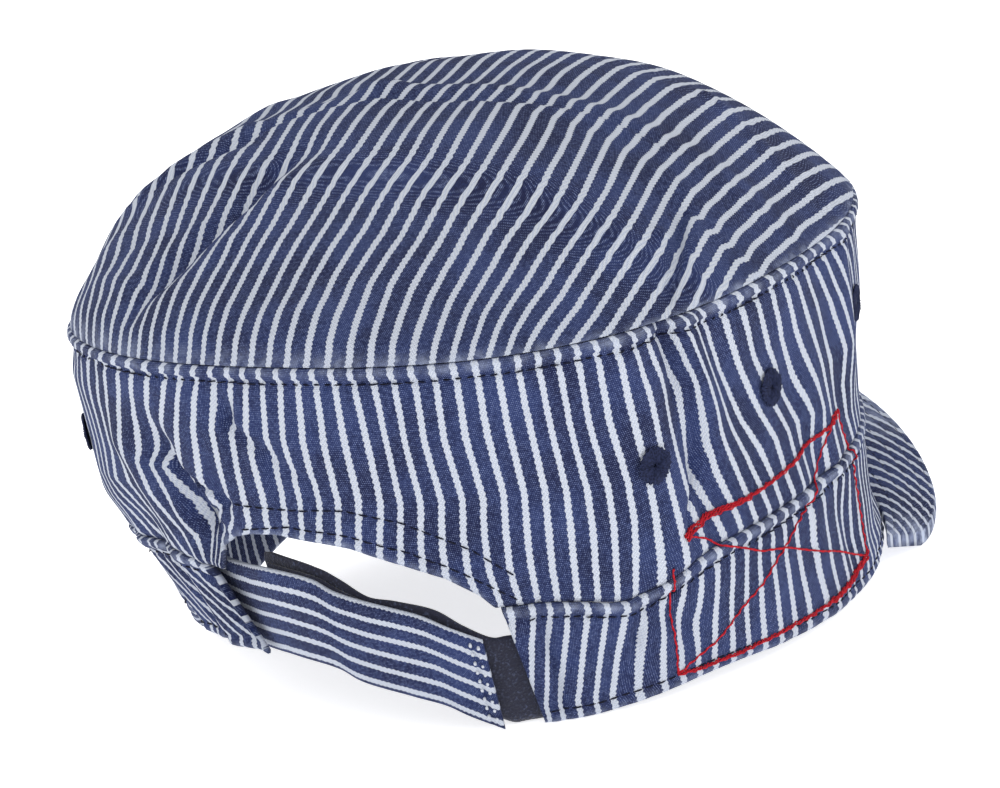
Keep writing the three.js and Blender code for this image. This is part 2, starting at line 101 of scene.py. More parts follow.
# Ridges and valleys of the crown top: xA, yA, xB, yB, spread, rise
CROWN_FOLDS = ((66, 30, 18, 0, 5, 2), (18, 0, -76, -11, 5, 2), (40, 84, 24, 30, 6, -2),
               (-58, 12, -71, 50, 5, -2.6), (79, 42, 68, 66, 7, -5), (74, 38, 56, -12, 6, 1.2),
               (42, -34, 18, -50, 9, -2.1))
CROWN_CLOTH_FOLDS = (
    (-59, 6, -62, 24, 2.4, 1.3), (-62, 24, -69, 46, 2.2, 1.5), (-61, 12, -71, 42, 1.5, -2.2),
    (-65, 14, -76, 38, 2.2, 1.3), (-55, 20, -63, 44, 3.5, 0.6),
    (26, 34, 27, 52, 2.0, -1.3), (27, 52, 40, 84, 2.0, -1.6), (31, 36, 34, 58, 3.0, 1.1),
    (35, 60, 47, 80, 2.6, 1.2), (20, 44, 22, 64, 4.0, 0.7), (24, 66, 33, 84, 2.6, 0.9),
    (42, 78, 60, 66, 2.4, 1.0), (60, 62, 74, 36, 3.0, 0.8), (52, 60, 60, 36, 3.5, -0.8),
    (62, 32, 40, 22, 2.6, -0.9), (60, 26, 46, 14, 2.6, 0.9), (46, 22, 30, 10, 2.2, -0.9),
    (10, 91, 8, 84, 2.4, -0.6), (-18, 92, -20, 84, 2.6, -0.5), (-40, 88, -42, 80, 2.4, -0.5),
    (-42, -45, -70, -31, 3.0, 1.0),
)
# Where the near half of the crown top steps down to the far half
CROWN_STEP = {"x": (-76, -68, -57, -44, -35, -26, -13, 1, 16, 35, 47, 62, 67),
              "y": (-8, -7.2, -5.2, -3.6, -2.8, -0.7, 3, 4.7, 5.9, 14, 26, 32, 33),
              "height": 1.0, "width": 0.7}

# The rounded edge of the crown top above the back of the rim: middle turn, spread of turns, share of
# the way in that it takes, and height
CROWN_ROLL = {"turn": -6, "spread": 34, "in": 0.085, "height": 2.4}

ARCH_EDGE = {"turn": (-17.5, -14, -9, -4, 6, 14, 20, 25, 27.5),
             "z": (41.5, 44.6, 46.6, 47.2, 44.5, 40.3, 37, 32.4, 28.5)}
ARCH_ROWS = {"turn": (-10.5, -1.8, 6, 14.5, 20, 25, 29.5, 31.3),
             "low": (47.6, 49.3, 47.6, 43.8, 40.3, 36.2, 31.9, 30.2),
             "high": (54, 53.4, 53.7, 50.6, 46.8, 43.1, 38, 35.9)}
# Turns of the band's two ends behind, and between the two halves of its cloth at the centre front
BAND_ENDS = {"left_top": -21, "left_bottom": -14.5, "right_top": 28, "right_bottom": 30.5}
FRONT_APART = 0.002
PEAK = {"turn_span": 62, "front_y": -139, "corner_x": 69.5, "corner_y": -76, "edge_square": 1.85,
        "edge_height": 25, "corner_height": 0, "edge_power": 2.1, "arch": 4, "gap": 0.45}
# The peak's rows of stitching, as shares of its depth, and about how deep it is in mm
PEAK_ROWS = (0.2, 0.4, 0.6, 0.78, 0.92)
PEAK_DEPTH = 38

# Lines of the strap and its tapes along the band: turns, heights and distances out of it
STRAP = {"width": 22.2, "thickness": 2.0, "turn": (-27, -20, -14, -8, -1, 2.5, 6.5, 11, 15.5, 19, 24),
         "z": (27.2, 26.2, 26.4, 27.3, 26.5, 23.6, 21.7, 20, 17.9, 14.9, 11.2),
         "out": (-6, -5.8, -4.6, -2, -0.1, 0.3, 0.6, 0.9, 1, 1, 1.2)}
HOOK_TAPE = {"width": 19.6, "thickness": 1.0, "turn": (-9, -1, 2.5, 6.5, 11, 15.5, 19, 22.5),
             "z": (29, 27.8, 24.9, 22.2, 20.4, 18.3, 15.4, 12),
             "out": (-4.6, -2.1, -1.7, -1.4, -1.1, -1, -1, -0.9)}
LOOP_TAPE = {"width": 21.0, "thickness": 1.6, "turn": (-10.5, -8, -1.5, 2.5, 6.5, 11, 17, 21, 25, 28, 36, 46),
             "z": (29.8, 30.1, 28.8, 25.7, 21.9, 20.9, 18.7, 14.4, 10.9, 10.7, 10.9, 10.9),
             "out": (-7, -6.2, -4.2, -3.6, -3.3, -3, -2.8, -2.9, -3.2, -3.8, -4.4, -4.4)}
EYELETS = {"back": (56.3, 0.53), "side": (82.4, 0.47), "front": (110.5, 0.42)}

# Where chosen stripes of the cloth lie. On the crown top each row is y, then the x of the stripes. On the
# wall and band it is the level, then the distance of the stripes round the rim from the centre back.
# The crown's rows from y = -20 on and the wall's stripes 13 to 45 come from a program that followed the
# stripes in the photo, and are only rounded.
CROWN_STRIPES = {
    "numbers": (2, 6, 10, 14, 18, 22, 26),
    "rows": ((-95, -38, -20, -1.5, 17, 35, 53.5, 72), (-50, -44, -26, -7.5, 10.5, 29, 47.5, 66),
             (-20, -47, -30, -12.5, 5, 22.5, 41, 60), (-10, -49, -31.5, -14, 4, 21, 39.5, 59),
             (-2, -49, -32, -15.5, 2, 18.5, 37, 57), (4, -49, -32, -14, 3, 19.5, 38, 58),
             (10, -50, -33.5, -15, 3, 21, 38.5, 58), (30, -54, -37, -18.5, -0.5, 19, 35, 54.5),
             (60, -58, -40, -21, -3, 15.5, 30, 44), (75, -58, -40.5, -21, -2.5, 15, 30, 41.5),
             (92, -60, -42.5, -24, -4.5, 13, 28, 43)),
}
# Share of the way out to the rim from which each side of the crown is steep
CROWN_STEEP = {"right": 0.62, "left": 0.78}
WALL_STRIPES = {
    "numbers": (-18, 1, 4, 6, 9, 13, 17, 21, 25, 29, 33, 37, 41, 45, 64),
    "rows": ((0.0, -146, -55, -38.5, -27.5, -14.5, 2, 19.5, 37.5, 56, 73.5, 92, 103, 131, 154, 252),
             (0.08, -146, -57, -40.5, -29, -15.5, 2, 20, 38, 56, 74, 92.5, 105, 132.5, 157, 252),
             (0.3, -146, -62, -46, -35.5, -19.5, 0, 21, 38, 56.5, 74, 95.5, 107.5, 133, 164.5, 252),
             (0.55, -146, -63, -48.5, -42, -20.5, 1.5, 22, 40, 57.5, 76, 95, 112, 138, 169.5, 252),
             (0.7, -146, -66, -46, -34.5, -21, 0, 20.5, 39, 57, 76, 95.5, 116, 143, 167, 252),
             (0.85, -146, -56, -38.5, -32.5, -28, -4, 19.5, 39, 56.5, 75, 97.5, 118.5, 142, 167.5, 252),
             (1.0, -146, -50, -36.5, -34, -30.5, -8, 19, 41, 56.5, 74, 99, 121, 144, 172, 252)),
}
BAND_STRIPES = {
    "numbers": (-40, -17, -6, 15, 17, 20, 22, 25, 28, 31, 32, 34, 56),
    "rows": ((1.1, -178, -83, -45, 51, 58, 71, 81, 95.5, 110.5, 125.5, 133.5, 155.5, 258),
             (1.35, -178, -76, -38, 49, 56, 68.5, 79, 94, 109, 126, 133, 154, 258),
             (1.6, -178, -68, -30, 47.5, 54, 66, 77, 92, 108.5, 127, 135.5, 154.5, 258),
             (1.85, -178, -60, -24, 46, 52, 63.5, 76, 90.5, 108, 129, 139, 157.5, 258)),
}
PEAK_STRIPES = {"first_y": -91, "pitch": 4.6}
STRAP_STRIPES = {"first": 0.62, "across": 5.35}

# Lengths of cloth in mm, along the stripes, for the weave: down the wall and the band, and of the strap
WALL_DROP = 58
BAND_DROP = 34
STRAP_LENGTH = 92

# Rows of topstitching on the wall and band, in mm from the rim, the seam and the hem
SEWN_ROWS = {"rim": 3.7, "seam": 3.6, "hem": 2.8}
# Length in mm of one pucker of the cloth along the rows below the rim and the seam
PUCKERS = {"rim": 2.9, "seam": 3.1}
# The red thread, in mm: the step between its points, and the length of cloth in which it winds once
RED_STEP = 0.45
RED_WIND = 3.4

# The red stitching that joins the wall and band: turns and levels of its corners and bends
RED_LINES = {
    "top": ((59, 0.86), (67.2, 0.86), (74.5, 0.865), (81.8, 0.85), (91.2, 0.8), (97.8, 0.78)),
    "top_again": ((59.4, 0.885), (64, 0.873), (68, 0.872), (74, 0.872)),
    "front": ((97.8, 0.78), (98.2, 0.87), (101.4, 1.04), (101.8, 1.39), (103, 1.68), (103, 1.8)),
    "foot": ((103, 1.8), (97.8, 1.86), (86.5, 1.88), (77.8, 1.9), (67.8, 1.93), (58.8, 1.92), (54.2, 1.87)),
    "foot_again": ((103.5, 1.76), (100, 1.82), (95, 1.85), (89, 1.86)),
    "back": ((54.2, 1.87), (55.4, 1.44), (56.5, 0.95)),
    "down": ((59, 0.86), (63.8, 0.94), (74.5, 1.22), (80.5, 1.3), (89.5, 1.5), (103, 1.8)),
    "up": ((97.8, 0.78), (94.2, 0.77), (92.2, 0.84), (90, 0.97), (87, 1.08), (83.5, 1.17), (79.5, 1.3),
           (73.8, 1.47), (68, 1.61), (62.5, 1.75), (56.8, 1.83), (54.2, 1.87)),
}
THICK_RED = ("top", "top_again", "foot", "foot_again")


class CapSizes(bpy.types.PropertyGroup):
    """Sizes of the cloth and sewing, in metres"""

    stripe_pitch: bpy.props.FloatProperty(
        name="Stripe pitch", description="Distance from one white stripe to the next",
        default=0.0046, min=0.002, max=0.01, unit="LENGTH", precision=4)
    stitch_pitch: bpy.props.FloatProperty(
        name="Stitch pitch", description="Distance from one topstitch to the next",
        default=0.0029, min=0.0015, max=0.006, unit="LENGTH", precision=4)
    stitch_radius: bpy.props.FloatProperty(
        name="Stitch radius", description="Half the thickness of the topstitching thread",
        default=0.00021, min=0.0001, max=0.001, unit="LENGTH", precision=5)
    red_thread_radius: bpy.props.FloatProperty(
        name="Red thread radius", description="Half the thickness of one strand of the red thread",
        default=0.00017, min=0.0001, max=0.001, unit="LENGTH", precision=5)


class CapColours(bpy.types.PropertyGroup):
    """Colours of the yarns and studio, as sRGB hex values"""

    indigo_dark: bpy.props.StringProperty(
        name="Dark indigo", description="Dyed yarn in the hollows of the twill", default="#181e40")
    indigo_light: bpy.props.StringProperty(
        name="Light indigo", description="Dyed yarn where it is washed paler", default="#2a3661")
    white_yarn: bpy.props.StringProperty(
        name="White yarn", description="Undyed yarn of the stripes", default="#c1c6d0")
    speck: bpy.props.StringProperty(
        name="Speck", description="Undyed weft that shows between the dyed yarns", default="#8e9cc4")
    # Painted shade: the white yarn made darker in the hollows of the rib
    painted_rib_shade: bpy.props.StringProperty(
        name="Yarn shade", description="White yarn in the hollows of the rib", default="#93a0bf")
    # Colour of rubbed wear, also used as painted light on the peak's corners
    rubbed_with_peak_painted_light: bpy.props.StringProperty(
        name="Rubbed cloth", description="Cloth worn pale along its edges", default="#b9c3da")
    tape_yarn: bpy.props.StringProperty(
        name="Tape yarn", description="Yarn of the woven tapes", default="#1b1d31")
    # Painted glint: the pale colour of the nap's tips where light catches them
    painted_nap_glint: bpy.props.StringProperty(
        name="Tape nap", description="Tips of the tapes' nap", default="#5a6486")
    navy_thread: bpy.props.StringProperty(
        name="Navy thread", description="Thread of the topstitching", default="#15172b")
    eyelet_thread: bpy.props.StringProperty(
        name="Eyelet thread", description="Thread of the embroidered eyelets", default="#262c48")
    red_thread: bpy.props.StringProperty(
        name="Red thread", description="Thread of the boxed cross", default="#b81c2a")
    floor: bpy.props.StringProperty(
        name="Floor", description="Colour of the studio floor", default="#f6f6f7")
    surroundings: bpy.props.StringProperty(
        name="Surroundings", description="Colour of the light from all round", default="#ffffff")


def settings():
    return bpy.context.scene.cap_sizes, bpy.context.scene.cap_colours


# Shape

def bell(distance, spread):
    return np.exp(-(distance / spread) ** 2)


def turn_apart(a, b):
    return (a - b + 540) % 360 - 180


def unit(vectors):
    return vectors / np.linalg.norm(vectors, axis=-1, keepdims=True)


def smooth_step(value, low, high):
    share = np.clip((value - low) / (high - low), 0, 1)
    return share * share * (3 - 2 * share)


def oval_point(ring, turn):
    side, back = np.sin(np.radians(turn)), np.cos(np.radians(turn))
    power = 2 / ring["square"]
    x = ring["aside"] - ring["half_width"] * np.sign(side) * np.abs(side) ** power
    y = -ring["forward"] + ring["half_length"] * np.sign(back) * np.abs(back) ** power
    return np.stack([x, y, np.zeros_like(x)], -1)


def outward(turn):
    along = oval_point(RIM, turn + 1) - oval_point(RIM, turn - 1)
    return unit(np.stack([along[..., 1], -along[..., 0], np.zeros_like(along[..., 0])], -1))


def drift(ring, turn, column):
    return sum(row[column] * bell(turn_apart(turn, row[0]), row[1]) for row in ring["drifts"])


def ring_height(ring, turn):
    along = np.cos(np.radians(turn))
    slope = (ring["back"] - ring["front"]) / 2
    bend = (ring["back"] + ring["front"]) / 2 - ring["side"]
    return np.maximum(ring["side"] + slope * along + bend * along ** 2 + drift(ring, turn, 2), 0)


def wall_height(turn):
    return ring_height(RIM, turn) - ring_height(SEAM, turn)


def band_height(turn):
    return ring_height(SEAM, turn) - ring_height(HEM, turn)


def ring_point(ring, turn):
    point = oval_point(ring, turn) + outward(turn) * drift(ring, turn, 3)[..., None]
    point[..., 2] = ring_height(ring, turn)
    return point


def fold_out(folds, turn, level):
    out = np.zeros(np.broadcast(turn, level).shape)
    for turn_a, level_a, turn_b, level_b, spread, height in folds:
        share = (level - level_a) / (level_b - level_a)
        inside = np.clip(share, 0, 1)
        past = np.abs(share - inside) * abs(level_b - level_a)
        centre = turn_a + (turn_b - turn_a) * inside
        out += height * bell(turn_apart(turn, centre), spread) * bell(past, 0.15)
    return out


def wall_point(turn, level, out=0.0):
    """A point of the wall or band in mm, moved out by a distance."""
    turn, level = np.broadcast_arrays(np.asarray(turn, float), np.asarray(level, float))
    rim, seam, hem = (ring_point(ring, turn) for ring in (RIM, SEAM, HEM))
    share = level[..., None]
    point = np.where(share <= 1, rim + (seam - rim) * share, seam + (hem - seam) * (share - 1))
    return point + outward(turn) * (out + fold_out(WALL_FOLDS, turn, level))[..., None]


def level_of(turn, height):
    rim, seam, hem = (ring_height(ring, turn) for ring in (RIM, SEAM, HEM))
    return np.where(height > seam, (rim - height) / (rim - seam), 1 + (seam - height) / (seam - hem))


def arch_level(turn):
    """Level of the wall's lower edge: the seam, or the arch over the opening."""
    near = turn_apart(turn, 0)
    height = np.interp(near, ARCH_EDGE["turn"], ARCH_EDGE["z"])
    inside = (near >= ARCH_EDGE["turn"][0]) & (near <= ARCH_EDGE["turn"][-1])
    return np.where(inside, np.minimum(level_of(turn, height), 1), 1)


RIM_TURNS = np.arange(-180, 180.5, 0.5)
RIM_STEPS = np.linalg.norm(np.diff(ring_point(RIM, RIM_TURNS), axis=0), axis=1)
RIM_ARC = np.concatenate([[0], np.cumsum(RIM_STEPS)])
RIM_ARC -= np.interp(0, RIM_TURNS, RIM_ARC)


def rim_arc(turn):
    return np.interp(turn, RIM_TURNS, RIM_ARC)


def stripe_count(table, across, along):
    """How many stripes lie before a place, from the table of where chosen stripes lie."""
    pitch = settings()[0].stripe_pitch * 1000
    rows = np.array(table["rows"], float)
    numbers = table["numbers"]
    knots = [np.interp(along, rows[:, 0], rows[:, k + 1]) for k in range(len(numbers))]
    count = numbers[0] + (across - knots[0]) / pitch
    for k in range(len(numbers) - 1):
        between = (across - knots[k]) / (knots[k + 1] - knots[k])
        count = np.where(across >= knots[k], numbers[k] + between * (numbers[k + 1] - numbers[k]), count)
    return np.where(across >= knots[-1], numbers[-1] + (across - knots[-1]) / pitch, count)


def ripple(a, b, seed):
    """Smooth irregular waves from -1 to 1 over two coordinates with features about 1 wide."""
    wave = np.zeros(np.broadcast(a, b).shape)
    for k in range(4):
        angle = seed * 1.7 + k * 2.4
        rate = 2.2 + 0.9 * k
        wave += np.sin(rate * (a * math.cos(angle) + b * math.sin(angle)) + seed + 1.3 * k)
    return wave / 4


def patches(a, b, seed):
    """The same waves from 0 to 1."""
    return 0.5 + 0.5 * ripple(a, b, seed)


def wall_relief(turn, level):
    """How far the sewn cloth stands out of the wall's plain surface, in mm."""
    arc = rim_arc(turn_apart(turn, 0))
    drop = level * wall_height(turn)
    out = fold_out(CLOTH_FOLDS, turn, level)
    # The turned edge under the rim, about 2.5 mm wide, and the groove of the stitches below it
    out += 0.95 * smooth_step(drop, 2.9, 2.2) * (1 - 0.35 * bell(drop, 0.8))
    out -= 0.4 * bell(drop - SEWN_ROWS["rim"], 0.9)
    # Gathers and puckers near the stitches, and wider waves lower down
    out += 0.35 * bell(drop - 7, 4) * ripple(arc / 4.5, drop / 20, 2)
    out += 0.3 * bell(drop - SEWN_ROWS["rim"], 1.6) * np.sin(arc * 2 * np.pi / PUCKERS["rim"])
    out += 0.45 * ripple(arc / 11, drop / 16, 5) * smooth_step(drop, 6, 14)
    # The grooves of the two rows over the opening, and dents near its edge
    edge = (arch_level(turn) - level) * wall_height(turn)
    over = smooth_step(np.abs(turn_apart(turn, 6)), 27, 23)
    height = ring_height(RIM, turn) - drop
    for name in ("low", "high"):
        row = np.interp(turn_apart(turn, 0), ARCH_ROWS["turn"], ARCH_ROWS[name])
        out -= over * 0.35 * bell(height - row, 0.9)
    out += over * 0.4 * bell(edge - 5, 4) * ripple(arc / 3.2, edge / 14, 9)
    return out


def band_relief(turn, level):
    """How far the sewn cloth stands out of the band's plain surface, in mm."""
    arc = rim_arc(turn_apart(turn, 0))
    drop = (level - 1) * band_height(turn)
    rise = (2 - level) * band_height(turn)
    out = fold_out(CLOTH_FOLDS, turn, level)
    # The turned edge under the seam, and the grooves of the two rows of stitches
    out += 0.85 * smooth_step(drop, 3.0, 2.3) * (1 - 0.3 * bell(drop, 0.8))
    out -= 0.35 * bell(drop - SEWN_ROWS["seam"], 0.8) + 0.4 * bell(rise - SEWN_ROWS["hem"], 0.8)
    # Puckers near the stitches, and wider waves between them
    out += 0.3 * bell(drop - SEWN_ROWS["seam"], 1.6) * np.sin(arc * 2 * np.pi / PUCKERS["seam"] + 1)
    out += 0.3 * bell(rise - 1.5, 3) * ripple(arc / 4, rise / 12, 3)
    out += 0.35 * ripple(arc / 9, drop / 12, 8) * smooth_step(drop, 4, 9)
    return out


def sewn_relief(turn, level):
    return np.where(level < 1, wall_relief(turn, level), band_relief(turn, level))


def step_apart(x, y):
    """How far a place on the crown top lies behind the step, in mm."""
    return y - np.interp(x, CROWN_STEP["x"], CROWN_STEP["y"])


def crown_point(turn, reach):
    """A point of the crown top in mm."""
    rim = ring_point(RIM, turn)
    x, y = rim[..., 0] * reach, rim[..., 1] * reach
    base = RIM["side"] + (rim[..., 2] - RIM["side"]) * reach
    right = np.sin(np.radians(turn))
    edge = DOME["edge"] + DOME["gentler_right"] * right
    front = -rim[..., 1] / RIM["half_length"]
    lean = 1 + (DOME["higher_front"] * front + DOME["higher_right"] * right) * reach
    full = np.maximum(1 - reach ** DOME["roundness"], 0) ** edge

    # Folds, then the step between the two halves, and slow waves
    rise = np.zeros_like(x)
    for folds in (CROWN_FOLDS, CROWN_CLOTH_FOLDS):
        for x_a, y_a, x_b, y_b, spread, height in folds:
            along_x, along_y = x_b - x_a, y_b - y_a
            share = ((x - x_a) * along_x + (y - y_a) * along_y) / (along_x ** 2 + along_y ** 2)
            inside = np.clip(share, 0, 1)
            apart = np.hypot(x - x_a - inside * along_x, y - y_a - inside * along_y)
            rise += height * bell(apart, spread)
    step = step_apart(x, y)
    width = CROWN_STEP["width"]
    rise += CROWN_STEP["height"] * smooth_step(step, -width, width) * bell(np.maximum(step, 0), 16)
    rise += 0.5 * ripple(x / 12, y / 17, 4)

    # The rounded edge behind, and gathers where the cloth is sewn to the rim
    roll = bell(turn_apart(turn, CROWN_ROLL["turn"]), CROWN_ROLL["spread"]) * CROWN_ROLL["height"]
    shoulder = smooth_step(1 - reach, 0.0, 0.03) * bell(np.maximum(1 - reach - 0.06, 0), CROWN_ROLL["in"])
    sewn = 1 - reach ** 12
    arc = rim_arc(turn_apart(turn, 0))
    pulls = 0.35 * bell(1 - reach, 0.07) * ripple(arc / 4.2, reach * 4, 6)
    height = base + DOME["height"] * full * lean + rise * sewn + roll * shoulder
    height += pulls * (1 - reach ** 60) + SEAM_GAP
    return np.stack([x, y, height], -1)


def lengthened_x(points, turn, reach):
    """The crown's x, drawn out near its steep sides, where stripes follow the cloth and not its plan."""
    step = np.diff(points, axis=1)
    slack = np.linalg.norm(step, axis=-1) - np.linalg.norm(step[..., :2], axis=-1)
    slack = np.concatenate([np.zeros((len(points), 1)), -np.cumsum(slack, 1)], 1)
    sideways = smooth_step(np.abs(outward(turn)[..., 0]), 0.3, 0.9)
    x = points[..., 0]
    for side, start in ((-1, CROWN_STEEP["right"]), (1, CROWN_STEEP["left"])):
        column = np.argmin(np.abs(reach - start), axis=1)
        beyond = (slack - slack[np.arange(len(points)), column][:, None]).clip(0)
        x = x + np.where(points[..., 0] * side > 0, side * beyond * sideways, 0)
    return x


def inside_of(points, thickness):
    """The same closed grid of points moved through the cloth, square to the surface."""
    around = np.concatenate([points[-1:], points, points[:1]])
    along = np.gradient(around, axis=0)[1:-1]
    normal = np.cross(along, np.gradient(points, axis=1))
    normal /= np.maximum(np.linalg.norm(normal, axis=-1, keepdims=True), 1e-9)
    centre = points.reshape(-1, 3).mean(0) - [0, 0, 20]
    if np.sum(normal * (points - centre)) < 0:
        normal = -normal
    return points - normal * thickness


def peak_point(across, reach):
    """A point of the peak's upper face in mm: across from -1 to 1, and reach from the band to the edge."""
    turn = 180 + across * PEAK["turn_span"]
    root = wall_point(turn, 2.0, PEAK["gap"])
    root[..., 2] += PEAK_THICKNESS * 0.8
    angle = across * np.pi / 2
    power = 2 / PEAK["edge_square"]
    side = np.abs(np.sin(angle)) ** power
    front = np.clip(np.cos(angle), 0, 1) ** power
    arch = np.clip(np.cos(angle), 0, 1)
    edge = np.stack([
        np.sign(across) * PEAK["corner_x"] * side + HEM["aside"],
        PEAK["corner_y"] + (PEAK["front_y"] - PEAK["corner_y"]) * front,
        PEAK["corner_height"] + (PEAK["edge_height"] - PEAK["corner_height"]) * arch ** PEAK["edge_power"]
        + PEAK_THICKNESS,
    ], -1)
    point = root + (edge - root) * reach[..., None]
    point[..., 2] += PEAK["arch"] * np.sin(np.pi * reach ** 0.7) * arch
    return point


def strip_centre(line, shares):
    """Turn, height and distance out at shares of a strip's length, through a smooth curve."""
    rows = np.array([line["turn"], line["z"], line["out"]], float).T
    padded = np.concatenate([[2 * rows[0] - rows[1]], rows, [2 * rows[-1] - rows[-2]]])
    place = np.clip(shares, 0, 1) * (len(rows) - 1)
    k = np.minimum(place.astype(int), len(rows) - 2)
    t = (place - k)[:, None]
    p0, p1, p2, p3 = (padded[k + n] for n in range(4))
    return 0.5 * (2 * p1 + (p2 - p0) * t + (2 * p0 - 5 * p1 + 4 * p2 - p3) * t ** 2
                  + (3 * p1 - p0 - 3 * p2 + p3) * t ** 3)


def strip_point(line, share, across, offset):
    """A point of a strip in mm: across runs from -1 at its lower edge to 1 at its upper one."""
    row = strip_centre(line, share)
    turn, z, out = row[:, None, 0], row[:, None, 1], row[:, None, 2]
    height = np.maximum(z + across * line["width"] / 2, 0)
    level = level_of(turn, height)
    turn_all = np.broadcast_to(turn, level.shape)
    point = wall_point(turn_all, level)
    move = out + offset - fold_out(WALL_FOLDS, turn_all, level)
    return point + outward(turn_all) * move[..., None]


# Meshes

def new_piece(name, mesh, material):
    piece = bpy.data.objects.new(name, mesh)
    bpy.context.scene.collection.objects.link(piece)
    mesh.materials.append(material)
    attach(piece, BODY)
    return piece


def mesh_from(name, points, quads, cloth=None, wear_with_peak_painted_light=None):
    """A smooth mesh from points in mm, with the cloth's own coordinates as its UV map."""
    mesh = bpy.data.meshes.new(name)
    corners = points[quads]
    volume = np.einsum("ij,ij->i", corners[:, 0], np.cross(corners[:, 1], corners[:, 2])).sum()
    volume += np.einsum("ij,ij->i", corners[:, 0], np.cross(corners[:, 2], corners[:, 3])).sum()
    order = [3, 2, 1, 0] if volume < 0 else [0, 1, 2, 3]
    quads = quads[:, order]
    mesh.from_pydata(((points - ORIGIN) / 1000).tolist(), [], quads.tolist())
    mesh.polygons.foreach_set("use_smooth", np.ones(len(quads), bool))
    if cloth is not None:
        layer = mesh.uv_layers.new(name="cloth")
        layer.data.foreach_set("uv", cloth[:, order].reshape(-1).astype(np.float32))
    if wear_with_peak_painted_light is not None:
        attribute = mesh.attributes.new("wear_with_peak_painted_light", "FLOAT", "POINT")
        attribute.data.foreach_set("value", wear_with_peak_painted_light.reshape(-1).astype(np.float32))
    mesh.update()
    return mesh


def shell_mesh(name, outer, inner, cloth, wear_with_peak_painted_light, closed=False):
    """A closed body between two grids of points, listed as columns round the cap and rows down it."""
    columns, rows = outer.shape[:2]
    cloth = cloth.reshape(-1, 2)
    quads, places = [], []

    def add_quads(corners):
        spread = [np.broadcast_arrays(*corner) for corner in corners]
        column, row, side = (np.stack([parts[k].reshape(-1) for parts in spread], 1) for k in range(3))
        quads.append(side * columns * rows + column % columns * rows + row)
        places.append(column * rows + row)

    i = np.arange(columns if closed else columns - 1)[:, None]
    j = np.arange(rows - 1)[None, :]
    first, last = np.zeros((1, 1), int), np.full((1, 1), rows - 1)
    add_quads([(i, j, 0), (i + 1, j, 0), (i + 1, j + 1, 0), (i, j + 1, 0)])
    add_quads([(i, j + 1, 1), (i + 1, j + 1, 1), (i + 1, j, 1), (i, j, 1)])
    add_quads([(i, first, 1), (i + 1, first, 1), (i + 1, first, 0), (i, first, 0)])
    add_quads([(i, last, 0), (i + 1, last, 0), (i + 1, last, 1), (i, last, 1)])
    if not closed:
        start, end = np.zeros((1, 1), int), np.full((1, 1), columns - 1)
        add_quads([(start, j, 0), (start, j + 1, 0), (start, j + 1, 1), (start, j, 1)])
        add_quads([(end, j, 1), (end, j + 1, 1), (end, j + 1, 0), (end, j, 0)])
    points = np.concatenate([outer.reshape(-1, 3), inner.reshape(-1, 3)])
    return mesh_from(name, points, np.concatenate(quads), cloth[np.concatenate(places)],
                     np.concatenate([wear_with_peak_painted_light.reshape(-1), wear_with_peak_painted_light.reshape(-1)]))


def round_edges(outer, inner, share=0.3):
    """Draw the outer and inner rows together at the free edges, as turned cloth does."""
    for row in (0, -1):
        a, b = outer[:, row].copy(), inner[:, row].copy()
        outer[:, row] = a + (b - a) * share
        inner[:, row] = b + (a - b) * share


def tube_quads(count, sides, rings):
    """Quads of many tubes, each of some rings of points."""
    tube, ring, side = np.meshgrid(np.arange(count), np.arange(rings - 1), np.arange(sides), indexing="ij")
    after = (side + 1) % sides
    base = tube * rings * sides
    return np.stack([base + ring * sides + side, base + ring * sides + after,
                     base + (ring + 1) * sides + after, base + (ring + 1) * sides + side], -1).reshape(-1, 4)


def resample(path, step):
    """Points at equal steps along a path."""
    lengths = np.concatenate([[0], np.cumsum(np.linalg.norm(np.diff(path, axis=0), axis=1))])
    count = max(int(round(lengths[-1] / step)), 1)
    at = (np.arange(count) + 0.5) * lengths[-1] / count
    return np.stack([np.interp(at, lengths, path[:, k]) for k in range(path.shape[1])], 1)


def stitch_mesh(name, rows, pitch, radius, length_share=0.86):
    """Stitches along rows of a path: each row is an array of points in mm with their normals."""
    # Each stitch is a tube of six sides: how wide its rings are, and how far out of the cloth they lie
    sides = 6
    profile = np.array([0.35, 0.9, 1.0, 0.9, 0.35])
    lifts = np.array([-0.7, 0.35, 0.6, 0.35, -0.7])
    shifts = np.linspace(-1, 1, len(profile)) * pitch * length_share / 2
    angles = (np.arange(sides) * 2 * np.pi / sides)[None, :, None]
    blocks = []
    for path in rows:
        at = resample(path, pitch)
        ahead = resample(path, pitch / 8)
        centre, normal = at[:, :3], at[:, 3:]
        nearest = np.linalg.norm(centre[:, None] - ahead[None, :, :3], axis=-1).argmin(1)
        low, high = np.maximum(nearest - 1, 0), np.minimum(nearest + 1, len(ahead) - 1)
        along = unit(ahead[high, :3] - ahead[low, :3])
        normal = unit(normal)
        beside = np.cross(along, normal)
        circle = np.cos(angles) * beside[:, None] + np.sin(angles) * normal[:, None]
        rings = []
        for shift, lift, width in zip(shifts, lifts, profile):
            middle = centre + along * shift + normal * radius * lift
            rings.append(middle[:, None] + radius * width * circle)
        blocks.append(np.stack(rings, 1))
    points = np.concatenate(blocks)
    return mesh_from(name, points.reshape(-1, 3), tube_quads(len(points), sides, len(profile)))


def surface_path(turns, levels, relief, out, steps=240):
    """Points and normals along a line on the wall or band, from its turns and levels."""
    share = np.linspace(0, 1, len(turns))
    fine = np.linspace(0, 1, steps)
    turn = np.interp(fine, share, turns)
    level = np.interp(fine, share, levels)
    here = wall_point(turn, level, relief(turn, level))
    across = wall_point(turn + 0.6, level, relief(turn, level)) - here
    down = wall_point(turn, level + 0.02, relief(turn, level)) - here
    normal = unit(np.cross(across, down))
    normal *= np.sign(np.sum(normal * outward(turn), axis=1))[:, None]
    return np.concatenate([here + normal * out, normal], 1)


# Materials

